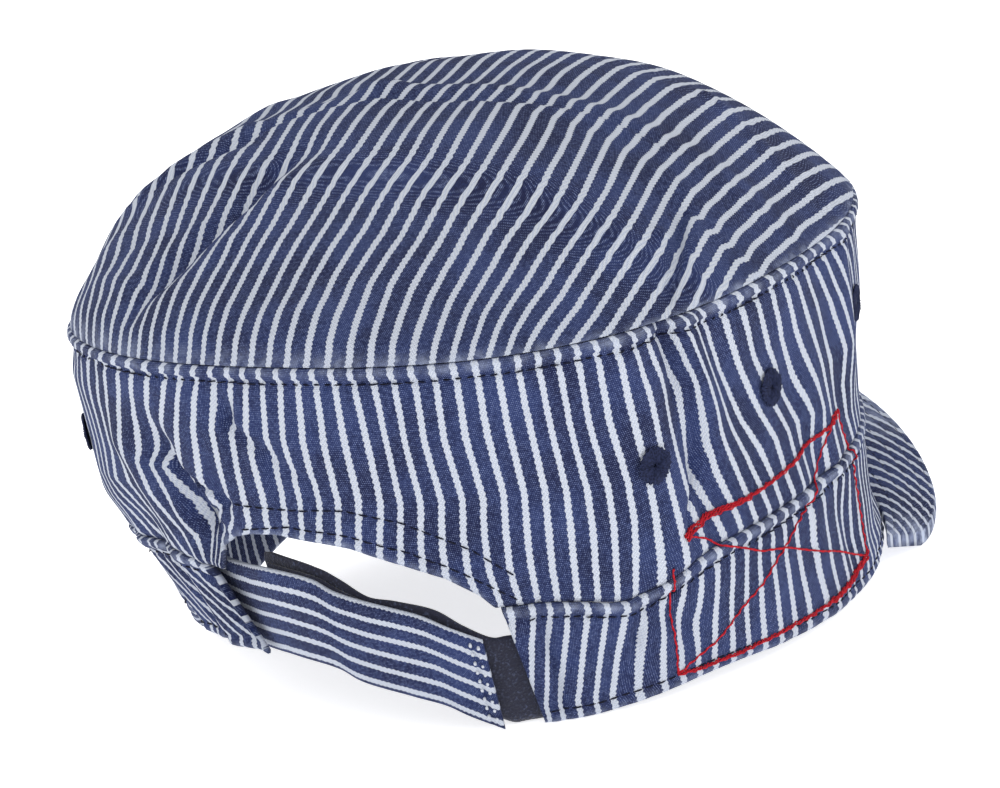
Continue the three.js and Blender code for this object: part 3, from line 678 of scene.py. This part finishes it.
def linear(hex_colour):
    """A linear RGBA value from an sRGB hex value."""
    values = [int(hex_colour[k:k + 2], 16) / 255 for k in (1, 3, 5)]
    return tuple(v / 12.92 if v <= 0.04045 else ((v + 0.055) / 1.055) ** 2.4 for v in values) + (1.0,)


def fill(tree, node, inputs):
    """Set or link the inputs of a node."""
    for key, value in inputs.items():
        if isinstance(value, bpy.types.NodeSocket):
            tree.links.new(value, node.inputs[key])
        else:
            node.inputs[key].default_value = value


def add(tree, kind, inputs=None, out=0, **values):
    """Add a node with its settings and links, and give the output that is asked for."""
    node = tree.nodes.new("ShaderNode" + kind)
    for name, value in values.items():
        setattr(node, name, value)
    fill(tree, node, inputs or {})
    return node.outputs[out]


def new_material(name):
    material = bpy.data.materials.new(name)
    material.use_nodes = True
    tree = material.node_tree
    shader = next(node for node in tree.nodes if node.type == "BSDF_PRINCIPLED")
    return material, tree, shader


def hickory_stripe_twill(name):
    """Cotton twill, yarn-dyed indigo with undyed stripes: matt, with a fine diagonal rib.

    The rib breaks the edges of the stripes into steps and leaves pale specks in the indigo.
    """
    sizes, colours = settings()
    pitch = sizes.stripe_pitch * 1000
    # The weave in mm: the rib, drawn a little coarser than the real one, the specks, and the edges' steps
    rib, specks, step = 0.62, 0.56, 1.42
    turn = 2 * math.pi
    soft = {"interpolation_type": "SMOOTHSTEP"}
    material, tree, shader = new_material(name)
    cloth = add(tree, "UVMap", uv_map="cloth")
    place = add(tree, "TexCoord", out="Object")
    wear_with_peak_painted_light = add(tree, "Attribute", out="Fac", attribute_name="wear_with_peak_painted_light")
    slack = add(tree, "TexNoise", {"Vector": place, "Scale": 260.0, "Detail": 2.0})
    wobble = add(tree, "Math", {0: slack, 1: 3.0}, operation="MULTIPLY")

    def wave(per_stripe, per_mm):
        rates = (per_stripe * turn, per_mm * turn, 0)
        dot = add(tree, "VectorMath", {0: cloth, 1: rates}, "Value", operation="DOT_PRODUCT")
        angle = add(tree, "Math", {0: dot, 1: wobble}, operation="ADD")
        return add(tree, "Math", {0: angle}, operation="SINE")

    diagonal = wave(0.82 * pitch / rib, 0.57 / rib)
    counter = wave(-0.66 * pitch / specks, 0.75 / specks)
    lattice = add(tree, "Math", {0: diagonal, 1: counter}, operation="MULTIPLY")
    fine = add(tree, "TexNoise", {"Vector": place, "Scale": 1500.0, "Detail": 2.0})
    broad = add(tree, "TexNoise", {"Vector": place, "Scale": 55.0, "Detail": 4.0, "Roughness": 0.6})
    uneven = add(tree, "TexNoise", {"Vector": place, "Scale": 330.0, "Detail": 2.0})

    # The stripes: how far a place is from the nearest one, with stepped and uneven edges
    count = add(tree, "SeparateXYZ", {0: cloth})
    steps = add(tree, "Math", {0: wave(0.9, 1 / step), 1: 0.022}, operation="MULTIPLY")
    centred = add(tree, "Math", {0: uneven, 1: 0.5}, operation="SUBTRACT")
    wander = add(tree, "Math", {0: centred, 1: 0.09}, operation="MULTIPLY")
    stepped = add(tree, "Math", {0: count, 1: steps}, operation="ADD")
    moved = add(tree, "Math", {0: stepped, 1: wander}, operation="ADD")
    apart = add(tree, "Math", {0: moved, 1: 0.5}, operation="PINGPONG")
    width = add(tree, "Math", {0: wave(-0.6, 1 / step), 1: 0.014}, operation="MULTIPLY")
    apart = add(tree, "Math", {0: apart, 1: width}, operation="ADD")
    white = add(tree, "MapRange", {0: apart, 1: 0.178, 2: 0.138}, **soft)

    # The indigo: unevenly washed out, with pale specks of weft
    small = add(tree, "Math", {0: fine, 1: 0.35}, operation="MULTIPLY")
    wash = add(tree, "Math", {0: broad, 1: small}, operation="ADD")
    dye = add(tree, "MapRange", {0: wash, 1: 0.5, 2: 0.85}, **soft)
    dark, light = linear(colours.indigo_dark), linear(colours.indigo_light)
    indigo = add(tree, "Mix", {0: dye, 6: dark, 7: light}, 2, data_type="RGBA")
    spot = add(tree, "MapRange", {0: lattice, 1: 0.2, 2: 0.85}, **soft)
    here = add(tree, "MapRange", {0: fine, 1: 0.35, 2: 0.7, 3: 0.1, 4: 0.7}, **soft)
    speck = add(tree, "Math", {0: spot, 1: here}, operation="MULTIPLY")
    indigo = add(tree, "Mix", {0: speck, 6: indigo, 7: linear(colours.speck)}, 2, data_type="RGBA")

    # The white yarn, with painted shade that darkens it in the rib's hollows, and the pale rubbed edges over
    # both, which on the peak's corners are also painted light
    shade = add(tree, "MapRange", {0: diagonal, 1: -1.0, 2: 0.6, 3: 0.35, 4: 0.0}, **soft)
    pale, painted_rib_shade_colour = linear(colours.white_yarn), linear(colours.painted_rib_shade)
    yarn = add(tree, "Mix", {0: shade, 6: pale, 7: painted_rib_shade_colour}, 2, data_type="RGBA")
    colour = add(tree, "Mix", {0: white, 6: indigo, 7: yarn}, 2, data_type="RGBA")
    patchy = add(tree, "MapRange", {0: uneven, 1: 0.35, 2: 0.65, 3: 0.2, 4: 1.0}, **soft)
    # The rubbed paleness is wear, and on the peak's corners also painted light
    rubbed_with_peak_painted_light = add(tree, "Math", {0: wear_with_peak_painted_light, 1: patchy}, operation="MULTIPLY")
    colour = add(tree, "Mix", {0: rubbed_with_peak_painted_light, 6: colour, 7: linear(colours.rubbed_with_peak_painted_light)}, 2, data_type="RGBA")

    ribs = add(tree, "Math", {0: diagonal, 1: 0.5}, operation="MULTIPLY")
    woven = add(tree, "Math", {0: ribs, 1: lattice}, operation="ADD")
    height = add(tree, "Math", {0: woven, 1: fine}, operation="ADD")
    bump = add(tree, "Bump", {"Strength": 0.55, "Distance": 0.00016, "Height": height})
    fill(tree, shader, {"Base Color": colour, "Normal": bump, "Roughness": 0.92, "Specular IOR Level": 0.1,
                        "Sheen Weight": 0.03, "Sheen Roughness": 0.6})
    return material


def woven_tape(name):
    """Woven nylon tape with a nap of loops and hooks: near-black, with painted glints as pale specks where
    light catches.
    """
    colours = settings()[1]
    soft = {"interpolation_type": "SMOOTHSTEP"}
    material, tree, shader = new_material(name)
    place = add(tree, "TexCoord", out="Object")
    nap = add(tree, "TexNoise", {"Vector": place, "Scale": 1700.0, "Detail": 3.0})
    clumps = add(tree, "TexNoise", {"Vector": place, "Scale": 420.0, "Detail": 2.0})
    # Painted glints: a pale colour on the nap's raised tips, in clumps
    tips = add(tree, "MapRange", {0: nap, 1: 0.5, 2: 0.8}, **soft)
    thick = add(tree, "MapRange", {0: clumps, 1: 0.3, 2: 0.7, 3: 0.2, 4: 0.8}, **soft)
    light = add(tree, "Math", {0: tips, 1: thick}, operation="MULTIPLY")
    yarn, pale = linear(colours.tape_yarn), linear(colours.painted_nap_glint)
    colour = add(tree, "Mix", {0: light, 6: yarn, 7: pale}, 2, data_type="RGBA")
    bump = add(tree, "Bump", {"Strength": 0.9, "Distance": 0.0004, "Height": nap})
    fill(tree, shader, {"Base Color": colour, "Normal": bump, "Roughness": 0.85, "Sheen Weight": 0.2})
    return material


def sewing_thread(name, hex_colour, painted_ply_shade=0.45, roughness=0.7):
    """Spun polyester sewing thread: a soft shine, and painted shade that darkens it where its plies meet."""
    material, tree, shader = new_material(name)
    place = add(tree, "TexCoord", out="Object")
    plies = add(tree, "TexNoise", {"Vector": place, "Scale": 2200.0, "Detail": 2.0})
    # Painted shade: a darker colour in the grooves between the plies
    share = add(tree, "MapRange", {0: plies, 1: 0.35, 2: 0.6}, interpolation_type="SMOOTHSTEP")
    full = linear(hex_colour)
    dark = tuple(v * painted_ply_shade for v in full[:3]) + (1.0,)
    colour = add(tree, "Mix", {0: share, 6: dark, 7: full}, 2, data_type="RGBA")
    bump = add(tree, "Bump", {"Strength": 0.5, "Distance": 0.0001, "Height": plies})
    fill(tree, shader, {"Base Color": colour, "Normal": bump, "Roughness": roughness,
                        "Specular IOR Level": 0.15})
    return material


def studio_paper(name):
    """Matt white translucent sheet of a light table: even, with no shine, and lit from below."""
    material, tree, shader = new_material(name)
    grain = add(tree, "TexNoise", {"Scale": 900.0, "Detail": 2.0})
    tone = linear(settings()[1].floor)
    pale = tuple(v * 0.985 for v in tone[:3]) + (1.0,)
    colour = add(tree, "Mix", {0: grain, 6: tone, 7: pale}, 2, data_type="RGBA")
    fill(tree, shader, {"Base Color": colour, "Roughness": 0.95, "Specular IOR Level": 0.1,
                        "Emission Color": tone, "Emission Strength": 0.8})
    return material


def shared_material(name, maker, *values):
    """The material of that name, made when it is first asked for."""
    return bpy.data.materials.get(name) or maker(name, *values)


def denim():
    return shared_material("hickory stripe twill", hickory_stripe_twill)


# Pieces

class CAP_OT_crown_top(bpy.types.Operator):
    """Make the domed crown top with its folds"""

    bl_idname = "cap.crown_top"
    bl_label = "Crown top"

    def execute(self, context):
        columns, rows = 420, 90
        turn = np.linspace(-180, 180, columns, endpoint=False)[:, None]
        reach = 1 - np.linspace(0, 0.9985, rows)[None, :] ** 1.35
        turn, reach = np.broadcast_arrays(turn, reach)
        outer = crown_point(turn, reach)
        inner = inside_of(outer, CLOTH * 0.8)
        rim = ring_point(RIM, turn)
        floor = RIM["side"] + (rim[..., 2] - RIM["side"]) * reach + SEAM_GAP
        inner[..., 2] = np.where(reach > 0.96, np.maximum(inner[..., 2], floor), inner[..., 2])
        plan = np.concatenate([outer, outer[:1]])
        x = lengthened_x(plan, np.concatenate([turn, turn[:1]]), np.concatenate([reach, reach[:1]]))
        count = stripe_count(CROWN_STRIPES, x, plan[..., 1])
        along = plan[..., 1] - plan[..., 2] * np.tanh(plan[..., 1] / 40)
        wear_with_peak_painted_light = 0.5 * bell(1 - reach, 0.012) * patches(turn / 3, reach, 1)
        mesh = shell_mesh("crown_top_cloth", outer, inner, np.stack([count, along], -1), wear_with_peak_painted_light, closed=True)
        piece = new_piece("crown_top_cloth", mesh, denim())
        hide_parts("crown_top")
        return {"FINISHED"}


class CAP_OT_side_wall(bpy.types.Operator):
    """Make the side wall with its rim edge and the arch over the opening"""

    bl_idname = "cap.side_wall"
    bl_label = "Side wall"

    def execute(self, context):
        # Columns in degrees, closer together round the opening, and rows that are closer over the rim's edge
        coarse = np.arange(-180, -20, 0.75)
        near = np.arange(-20, 32, 0.4)
        turn = np.concatenate([coarse, near, np.arange(32, 180, 0.75)])[:, None]
        height = wall_height(turn)
        lip = np.array([0, 0.5, 1.1, 1.7, 2.2, 2.5, 2.8, 3.2, 3.6, 4.0, 4.5])[None, :] / height
        rest = np.linspace(0, 1, 44)[None, 1:]
        end = arch_level(turn) - 0.001
        level = np.concatenate([lip, lip[:, -1:] + (end - lip[:, -1:]) * rest], 1)
        turn = np.broadcast_to(turn, level.shape)
        outer = wall_point(turn, level, wall_relief(turn, level))
        inner = wall_point(turn, level, -CLOTH + 0.3 * fold_out(CLOTH_FOLDS, turn, level))
        round_edges(outer, inner)
        all_turns = np.concatenate([turn, np.full((1, turn.shape[1]), 180.0)])
        all_levels = np.concatenate([level, level[:1]])
        count = stripe_count(WALL_STRIPES, rim_arc(all_turns), all_levels)
        along = all_levels * WALL_DROP
        drop = level * height
        edge = (end - level) * height
        over = smooth_step(np.abs(turn_apart(turn, 5)), 24, 21)
        wear_with_peak_painted_light = 0.4 * bell(drop - 0.9, 1.0) * patches(turn / 2, level * 3, 7)
        wear_with_peak_painted_light = wear_with_peak_painted_light + 0.5 * over * bell(edge, 1.2) * patches(turn / 1.5, level * 3, 3)
        mesh = shell_mesh("side_wall_cloth", outer, inner, np.stack([count, along], -1), wear_with_peak_painted_light, closed=True)
        piece = new_piece("side_wall_cloth", mesh, denim())
        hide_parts("side_wall")
        return {"FINISHED"}


class CAP_OT_head_band(bpy.types.Operator):
    """Make the head band, open at the back"""

    bl_idname = "cap.head_band"
    bl_label = "Head band"

    def execute(self, context):
        half = 235
        share = np.linspace(0, 1, half)[:, None]
        right = BAND_ENDS["right_top"], BAND_ENDS["right_bottom"]
        left = 360 + BAND_ENDS["left_top"], 360 + BAND_ENDS["left_bottom"]
        front = 180 - FRONT_APART / 2, 180 + FRONT_APART / 2
        middle = np.concatenate([right[0] + (front[0] - right[0]) * share,
                                 front[1] + (left[0] - front[1]) * share])
        height = band_height(middle)
        top = np.array([0.12, 0.6, 1.3, 2.0, 2.6, 3.0, 3.5, 4.0, 4.6])[None, :] / height
        rest = np.linspace(0, 1, 26)[None, 1:]
        level = 1 + np.concatenate([top, top[:, -1:] + (1 - top[:, -1:]) * rest], 1)
        down = level - 1
        first = right[0] + (right[1] - right[0]) * down
        last = left[0] + (left[1] - left[0]) * down
        turn = np.concatenate([first[:half] + (front[0] - first[:half]) * share,
                               front[1] + (last[half:] - front[1]) * share])
        outer = wall_point(turn, level, band_relief(turn, level))
        inner = wall_point(turn, level, -BAND_CLOTH + 0.5 * fold_out(CLOTH_FOLDS, turn, level))
        outer[..., 2] = np.maximum(outer[..., 2], 0)
        inner[..., 2] = np.maximum(inner[..., 2], 0)
        round_edges(outer, inner)
        count = stripe_count(BAND_STRIPES, rim_arc(turn_apart(turn, 0)), level)
        along = level * BAND_DROP
        drop, rise = down * height, (1 - down) * height
        wear_with_peak_painted_light = 0.45 * bell(drop - 1.2, 1.0) + 0.4 * bell(rise, 1.2)
        wear_with_peak_painted_light = wear_with_peak_painted_light * patches(turn / 2, level * 4, 2)
        mesh = shell_mesh("head_band_cloth", outer, inner, np.stack([count, along], -1), wear_with_peak_painted_light)
        piece = new_piece("head_band_cloth", mesh, denim())
        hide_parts("head_band")
        return {"FINISHED"}


class CAP_OT_peak(bpy.types.Operator):
    """Make the stitched peak"""

    bl_idname = "cap.peak"
    bl_label = "Peak"

    def execute(self, context):
        columns, rows = 260, 52
        across = np.linspace(-1, 1, columns)[:, None]
        reach = np.linspace(0, 1, rows)[None, :]
        across, reach = np.broadcast_arrays(across, reach)
        outer = peak_point(across, reach)
        inner = outer.copy()
        inner[..., 2] = np.maximum(outer[..., 2] - PEAK_THICKNESS, 0)
        for row in PEAK_ROWS:
            outer[..., 2] -= 0.3 * bell((reach - row) * PEAK_DEPTH, 0.8)
        round_edges(outer, inner, 0.36)
        count = (outer[..., 1] - PEAK_STRIPES["first_y"]) / PEAK_STRIPES["pitch"]
        wear_with_peak_painted_light = 0.5 * bell((1 - reach) * PEAK_DEPTH, 1.2)
        wear_with_peak_painted_light = wear_with_peak_painted_light + 0.3 * smooth_step(reach, 0.45, 0.85) * smooth_step(np.abs(across), 0.56, 0.4)
        # Paler corners: rubbed wear, made paler still as painted light on the peak's corners
        wear_with_peak_painted_light = wear_with_peak_painted_light + 0.4 * smooth_step(np.abs(across), 0.84, 0.98)
        mesh = shell_mesh("peak_cloth", outer, inner, np.stack([count, outer[..., 0]], -1), wear_with_peak_painted_light)
        piece = new_piece("peak_cloth", mesh, denim())
        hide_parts("peak")
        return {"FINISHED"}


def strip_piece(name, line, cloth_of, surface, material_used, columns=150, rows=22):
    """Make a strap or tape along its line, with a thickness and turned edges."""
    share = np.linspace(0, 1, columns)
    across = np.linspace(1, -1, rows)[None, :]
    half = line["thickness"] / 2
    # The edges are thinner over the outer 14% of half the width
    round_off = np.sqrt(np.clip(1 - (np.abs(across) - 0.86).clip(0) ** 2 / 0.14 ** 2 * 0.8, 0, 1))
    puff = surface(share[:, None], across)
    outer = strip_point(line, share, across, half * round_off + puff)
    inner = strip_point(line, share, across, -half * round_off)
    shares, acrosses = np.broadcast_arrays(share[:, None], across)
    mesh = shell_mesh(name, outer, inner, cloth_of(shares, acrosses, outer), 0 * acrosses)
    return new_piece(name, mesh, material_used)


class CAP_OT_strap(bpy.types.Operator):
    """Make the closing strap"""

    bl_idname = "cap.strap"
    bl_label = "Back strap"

    def execute(self, context):
        def cloth_of(share, across, points):
            count = STRAP_STRIPES["across"] * (across + 1) / 2 + STRAP_STRIPES["first"]
            return np.stack([count, share * STRAP_LENGTH], -1)

        def surface(share, across):
            edge = bell((np.abs(across) - 0.84), 0.07)
            end = bell((share - 0.955), 0.012) + bell((share - 0.985), 0.01)
            waves = 0.25 * ripple(share * 7, across * 1.6, 3)
            return waves - 0.2 * edge - 0.25 * bell(share - 0.968, 0.006) + 0.5 * end * (1 - across ** 8)

        piece = strip_piece("back_strap_cloth", STRAP, cloth_of, surface, denim())
        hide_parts("back_strap")
        return {"FINISHED"}


class CAP_OT_tapes(bpy.types.Operator):
    """Make the woven hook and loop tapes"""

    bl_idname = "cap.tapes"
    bl_label = "Tapes"

    def execute(self, context):
        tape = shared_material("woven tape", woven_tape)

        def cloth_of(share, across, points):
            return np.stack([across, share], -1)

        def surface(share, across):
            return 0.12 * ripple(share * 60, across * 9, 5) + 0.1 * ripple(share * 17, across * 3, 2)

        hook = strip_piece("hook_tape_woven", HOOK_TAPE, cloth_of, surface, tape)
        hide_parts("hook_tape")
        loop = strip_piece("loop_tape_woven", LOOP_TAPE, cloth_of, surface, tape, 190, 24)
        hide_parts("loop_tape")
        return {"FINISHED"}


class CAP_OT_eyelets(bpy.types.Operator):
    """Make the embroidered eyelets"""

    bl_idname = "cap.eyelets"
    bl_label = "Eyelets"

    def execute(self, context):
        thread = shared_material("navy embroidery thread", sewing_thread,
                          settings()[1].eyelet_thread, 0.45, 0.95)
        for side, sign in (("right", 1), ("left", -1)):
            for place, (turn, level) in EYELETS.items():
                name = f"eyelet_{side}_{place}"
                mesh = self.embroidery(name, sign * turn, level)
                piece = new_piece(f"{name}_thread", mesh, thread)
                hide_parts(name)
        return {"FINISHED"}

    @staticmethod
    def embroidery(name, turn, level):
        """A ring of radial satin stitches that follows the cloth."""
        around = np.linspace(0, 2 * np.pi, 144, endpoint=False)[:, None]
        threads = 36
        # The ring's section in mm, from the hole outward, and how high it stands
        radius = np.array([0.4, 0.7, 1.4, 2.3, 3.2, 3.8, 4.15, 4.25])[None, :]
        rise = np.array([0.0, 0.2, 0.42, 0.45, 0.4, 0.28, 0.12, 0.0])[None, :]
        # An uneven outer edge, and a rib for each thread outside the hole
        ragged = 1 + 0.045 * np.sin(around * 7 + turn) * np.sin(around * 3)
        ragged = ragged + 0.035 * np.sin(around * 23 + turn)
        ribs = (0.18 + 0.1 * np.sin(around * 5 + turn)) * np.abs(np.sin(around * threads / 2))
        ribs = ribs * (radius > 0.6)
        centre = wall_point(turn, level)
        out = outward(np.array(float(turn)))
        up = unit(wall_point(turn, level - 0.05) - wall_point(turn, level + 0.05))
        beside = unit(np.cross(up, out))
        facing = np.cross(beside, up)
        facing *= np.sign(facing @ out)
        reach = radius * ragged
        plane = reach[..., None] * (np.cos(around)[..., None] * beside + np.sin(around)[..., None] * up)
        outer = centre + plane + (rise + ribs + 0.25)[..., None] * facing
        inner = centre + plane * 0.98 + 0.2 * facing
        cloth = np.zeros((len(around) + 1, radius.shape[1], 2))
        return shell_mesh(f"{name}_thread", outer, inner, cloth, np.zeros(outer.shape[:2]), closed=True)


class CAP_OT_topstitching(bpy.types.Operator):
    """Sew the navy topstitching along the seams, arch, band and peak, and white stitches across the strap's
    end
    """

    bl_idname = "cap.topstitching"
    bl_label = "Topstitching"

    def execute(self, context):
        sizes, colours = settings()
        pitch, radius = sizes.stitch_pitch * 1000, sizes.stitch_radius * 1000
        thread = shared_material("navy sewing thread", sewing_thread, colours.navy_thread)
        turns = np.linspace(-179, 179, 720)
        rim_level = SEWN_ROWS["rim"] / wall_height(turns)
        rows = {"rim": [surface_path(turns, rim_level, wall_relief, 0.1, 2000)]}
        arch = np.linspace(-10, 31, 160)
        rows["arch"] = []
        for name in ("low", "high"):
            z = np.interp(arch, ARCH_ROWS["turn"], ARCH_ROWS[name])
            rows["arch"].append(surface_path(arch, level_of(arch, z), wall_relief, 0.1, 700))
        band = np.linspace(31.5, 337, 800)
        height = band_height(band)
        levels = 1 + SEWN_ROWS["seam"] / height, 2 - SEWN_ROWS["hem"] / height
        rows["band"] = [surface_path(band, level, band_relief, 0.1, 2000) for level in levels]
        rows["peak"] = [self.peak_row(reach) for reach in PEAK_ROWS]
        for name, paths in rows.items():
            fine = 0.6 if name == "peak" else 1.0
            mesh = stitch_mesh(f"stitches_{name}", paths, pitch, radius * fine)
            new_piece(f"stitches_{name}", mesh, thread)
        white = shared_material("white sewing thread", sewing_thread, colours.white_yarn, 0.8)
        ends = [self.strap_end_row(share) for share in (0.963, 0.984)]
        mesh = stitch_mesh("stitches_strap_end", ends, pitch * 0.8, radius * 1.8, 0.55)
        new_piece("stitches_strap_end", mesh, white)
        return {"FINISHED"}

    @staticmethod
    def peak_row(reach):
        across = np.linspace(-0.97, 0.97, 400)
        here = peak_point(across, np.full(len(across), reach))
        ahead = peak_point(across, np.full(len(across), min(reach + 0.02, 1.0)))
        beside = np.gradient(here, axis=0)
        normal = unit(np.cross(beside, ahead - here))
        normal *= np.sign(normal[:, 2:])
        return np.concatenate([here - normal * 0.3, normal], 1)

    @staticmethod
    def strap_end_row(share):
        across = np.linspace(0.9, -0.9, 120)
        here = strip_point(STRAP, np.array([share]), across[None, :], STRAP["thickness"] / 2 + 0.2)[0]
        turn = np.full(len(across), strip_centre(STRAP, np.array([share]))[0, 0])
        return np.concatenate([here, outward(turn)], 1)


class CAP_OT_red_stitching(bpy.types.Operator):
    """Sew the red boxed cross over the wall and band"""

    bl_idname = "cap.red_stitching"
    bl_label = "Red stitching"

    def execute(self, context):
        sizes, colours = settings()
        thread = shared_material("red sewing thread", sewing_thread, colours.red_thread, 0.55)
        curve = bpy.data.curves.new("red_stitching", "CURVE")
        curve.dimensions = "3D"
        curve.bevel_depth = sizes.red_thread_radius
        curve.bevel_resolution = 1
        for k, (name, points) in enumerate(RED_LINES.items()):
            turns, levels = (np.array(column) for column in zip(*points))
            thick = name in THICK_RED
            path = surface_path(turns, levels, sewn_relief, 0.3 if thick else 0.16, 900)
            fine = resample(path, RED_STEP)
            self.twist(curve, fine, 3 if thick else 2, 0.34 if thick else 0.1, k)
        curve.materials.append(thread)
        piece = bpy.data.objects.new("red_stitching", curve)
        bpy.context.scene.collection.objects.link(piece)
        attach(piece, BODY)
        return {"FINISHED"}

    @staticmethod
    def twist(curve, path, strands, spread, seed):
        """Lay strands round a path, as short slanted stitches that cross over each other."""
        centre, normal = path[:, :3], path[:, 3:]
        along = unit(np.gradient(centre, axis=0))
        beside = np.cross(along, normal)
        step = np.arange(len(path)) * RED_STEP
        for n in range(strands):
            angle = step * 2 * np.pi / RED_WIND + n * 2 * np.pi / strands + seed
            wander = spread * (1 + 0.35 * np.sin(step * 1.9 + seed + n) + 0.3 * np.sin(step * 0.53 + 2 * n))
            strand = centre + beside * (wander * np.cos(angle))[:, None]
            lift = 0.7 * spread * np.sin(angle) + 0.2 * np.sin(step * 2 * np.pi / 3.1)
            strand = strand + normal * lift[:, None]
            spline = curve.splines.new("POLY")
            spline.points.add(len(strand) - 1)
            coordinates = np.concatenate([(strand - ORIGIN) / 1000, np.ones((len(strand), 1))], 1)
            spline.points.foreach_set("co", coordinates.reshape(-1).astype(np.float32))
            spline.use_smooth = True


class CAP_OT_stage(bpy.types.Operator):
    """Set up the floor, lights and camera"""

    bl_idname = "cap.stage"
    bl_label = "Studio"

    # The camera: where it looks from, its roll, its distance and the photograph's scale
    AROUND, ABOVE, ROLL = 29.0, 16.0, -6.0
    DISTANCE, FOCAL = 1500.0, 6480.0
    WIDTH, HEIGHT = 1000, 788
    AXIS_PIXEL = (508.94, 626.5)

    def execute(self, context):
        scene = context.scene
        around, above = math.radians(self.AROUND), math.radians(self.ABOVE)
        roll = math.radians(self.ROLL)
        flat = math.cos(above)
        back = Vector((-math.sin(around) * flat, math.cos(around) * flat, math.sin(above)))
        across = (-back).cross(Vector((0, 0, 1))).normalized()
        upright = across.cross(-back)
        right = across * math.cos(roll) + upright * math.sin(roll)
        up = upright * math.cos(roll) - across * math.sin(roll)
        place = back * self.DISTANCE - Vector(ORIGIN)
        aim = -back - right * ((self.AXIS_PIXEL[0] - self.WIDTH / 2) / self.FOCAL)
        aim = (aim + up * ((self.AXIS_PIXEL[1] - self.HEIGHT / 2) / self.FOCAL)).normalized()
        right = aim.cross(up).normalized()
        up = right.cross(aim)
        data = bpy.data.cameras.new("photo_camera")
        data.sensor_width = 36
        data.lens = self.FOCAL / self.WIDTH * data.sensor_width
        data.clip_start, data.clip_end = 0.05, 30
        camera = bpy.data.objects.new("photo_camera", data)
        turned = Matrix((right, up, -aim)).transposed().to_4x4()
        camera.matrix_world = Matrix.Translation(place / 1000) @ turned
        scene.collection.objects.link(camera)
        scene.camera = camera

        # The floor, half its width in metres and just below the cap
        size, low = 6.0, -0.0004
        corners = [(-size, -size, low), (size, -size, low), (size, size, low), (-size, size, low)]
        floor_mesh = bpy.data.meshes.new("studio_floor")
        floor_mesh.from_pydata(corners, [], [(0, 1, 2, 3)])
        floor_mesh.materials.append(studio_paper("studio paper"))
        floor = bpy.data.objects.new("studio_floor", floor_mesh)
        scene.collection.objects.link(floor)

        # Softboxes: position, size in metres, power in watts
        boxes = {
            "key_light": ((-0.6, 1.6, 1.1), 1.5, 12.5),
            "left_light": ((1.5, 0.6, 0.9), 1.3, 7.5),
            "right_light": ((-1.6, -0.2, 0.8), 1.2, 9),
            "top_light": ((0.0, -0.4, 1.9), 1.8, 9),
        }
        for name, (position, width, power) in boxes.items():
            light = bpy.data.lights.new(name, "AREA")
            light.energy, light.size = power, width
            lamp = bpy.data.objects.new(name, light)
            direction = Vector((0, 0, 0.03)) - Vector(position)
            turned = direction.to_track_quat("-Z", "Y").to_matrix().to_4x4()
            lamp.matrix_world = Matrix.Translation(position) @ turned
            scene.collection.objects.link(lamp)

        world = bpy.data.worlds.new("studio")
        world.use_nodes = True
        background = next(node for node in world.node_tree.nodes if node.type == "BACKGROUND")
        background.inputs["Color"].default_value = linear(settings()[1].surroundings)
        background.inputs["Strength"].default_value = 0.52
        scene.world = world
        scene.view_settings.view_transform = "Standard"
        return {"FINISHED"}


class CAP_PT_panel(bpy.types.Panel):
    """The cap's pieces and settings"""

    bl_idname = "CAP_PT_panel"
    bl_label = "Cadet cap"
    bl_space_type = "VIEW_3D"
    bl_region_type = "UI"
    bl_category = "Cap"

    def draw(self, context):
        for operator in OPERATORS:
            self.layout.operator(operator.bl_idname)
        for group in (context.scene.cap_sizes, context.scene.cap_colours):
            box = self.layout.box()
            for name in group.bl_rna.properties.keys():
                if name not in ("rna_type", "name"):
                    box.prop(group, name)


OPERATORS = (CAP_OT_stage, CAP_OT_crown_top, CAP_OT_side_wall, CAP_OT_head_band, CAP_OT_peak, CAP_OT_strap,
             CAP_OT_tapes, CAP_OT_eyelets, CAP_OT_topstitching, CAP_OT_red_stitching)
CLASSES = (CapSizes, CapColours, CAP_PT_panel) + OPERATORS


def register():
    for one in CLASSES:
        bpy.utils.register_class(one)
    bpy.types.Scene.cap_sizes = bpy.props.PointerProperty(type=CapSizes)
    bpy.types.Scene.cap_colours = bpy.props.PointerProperty(type=CapColours)


def unregister():
    del bpy.types.Scene.cap_colours
    del bpy.types.Scene.cap_sizes
    for one in reversed(CLASSES):
        bpy.utils.unregister_class(one)


def main():
    register()
    for operator in (bpy.ops.cap.stage, bpy.ops.cap.crown_top, bpy.ops.cap.side_wall, bpy.ops.cap.head_band,
                     bpy.ops.cap.peak, bpy.ops.cap.strap, bpy.ops.cap.tapes, bpy.ops.cap.eyelets,
                     bpy.ops.cap.topstitching, bpy.ops.cap.red_stitching):
        operator()


if __name__ == "__main__":
    main()
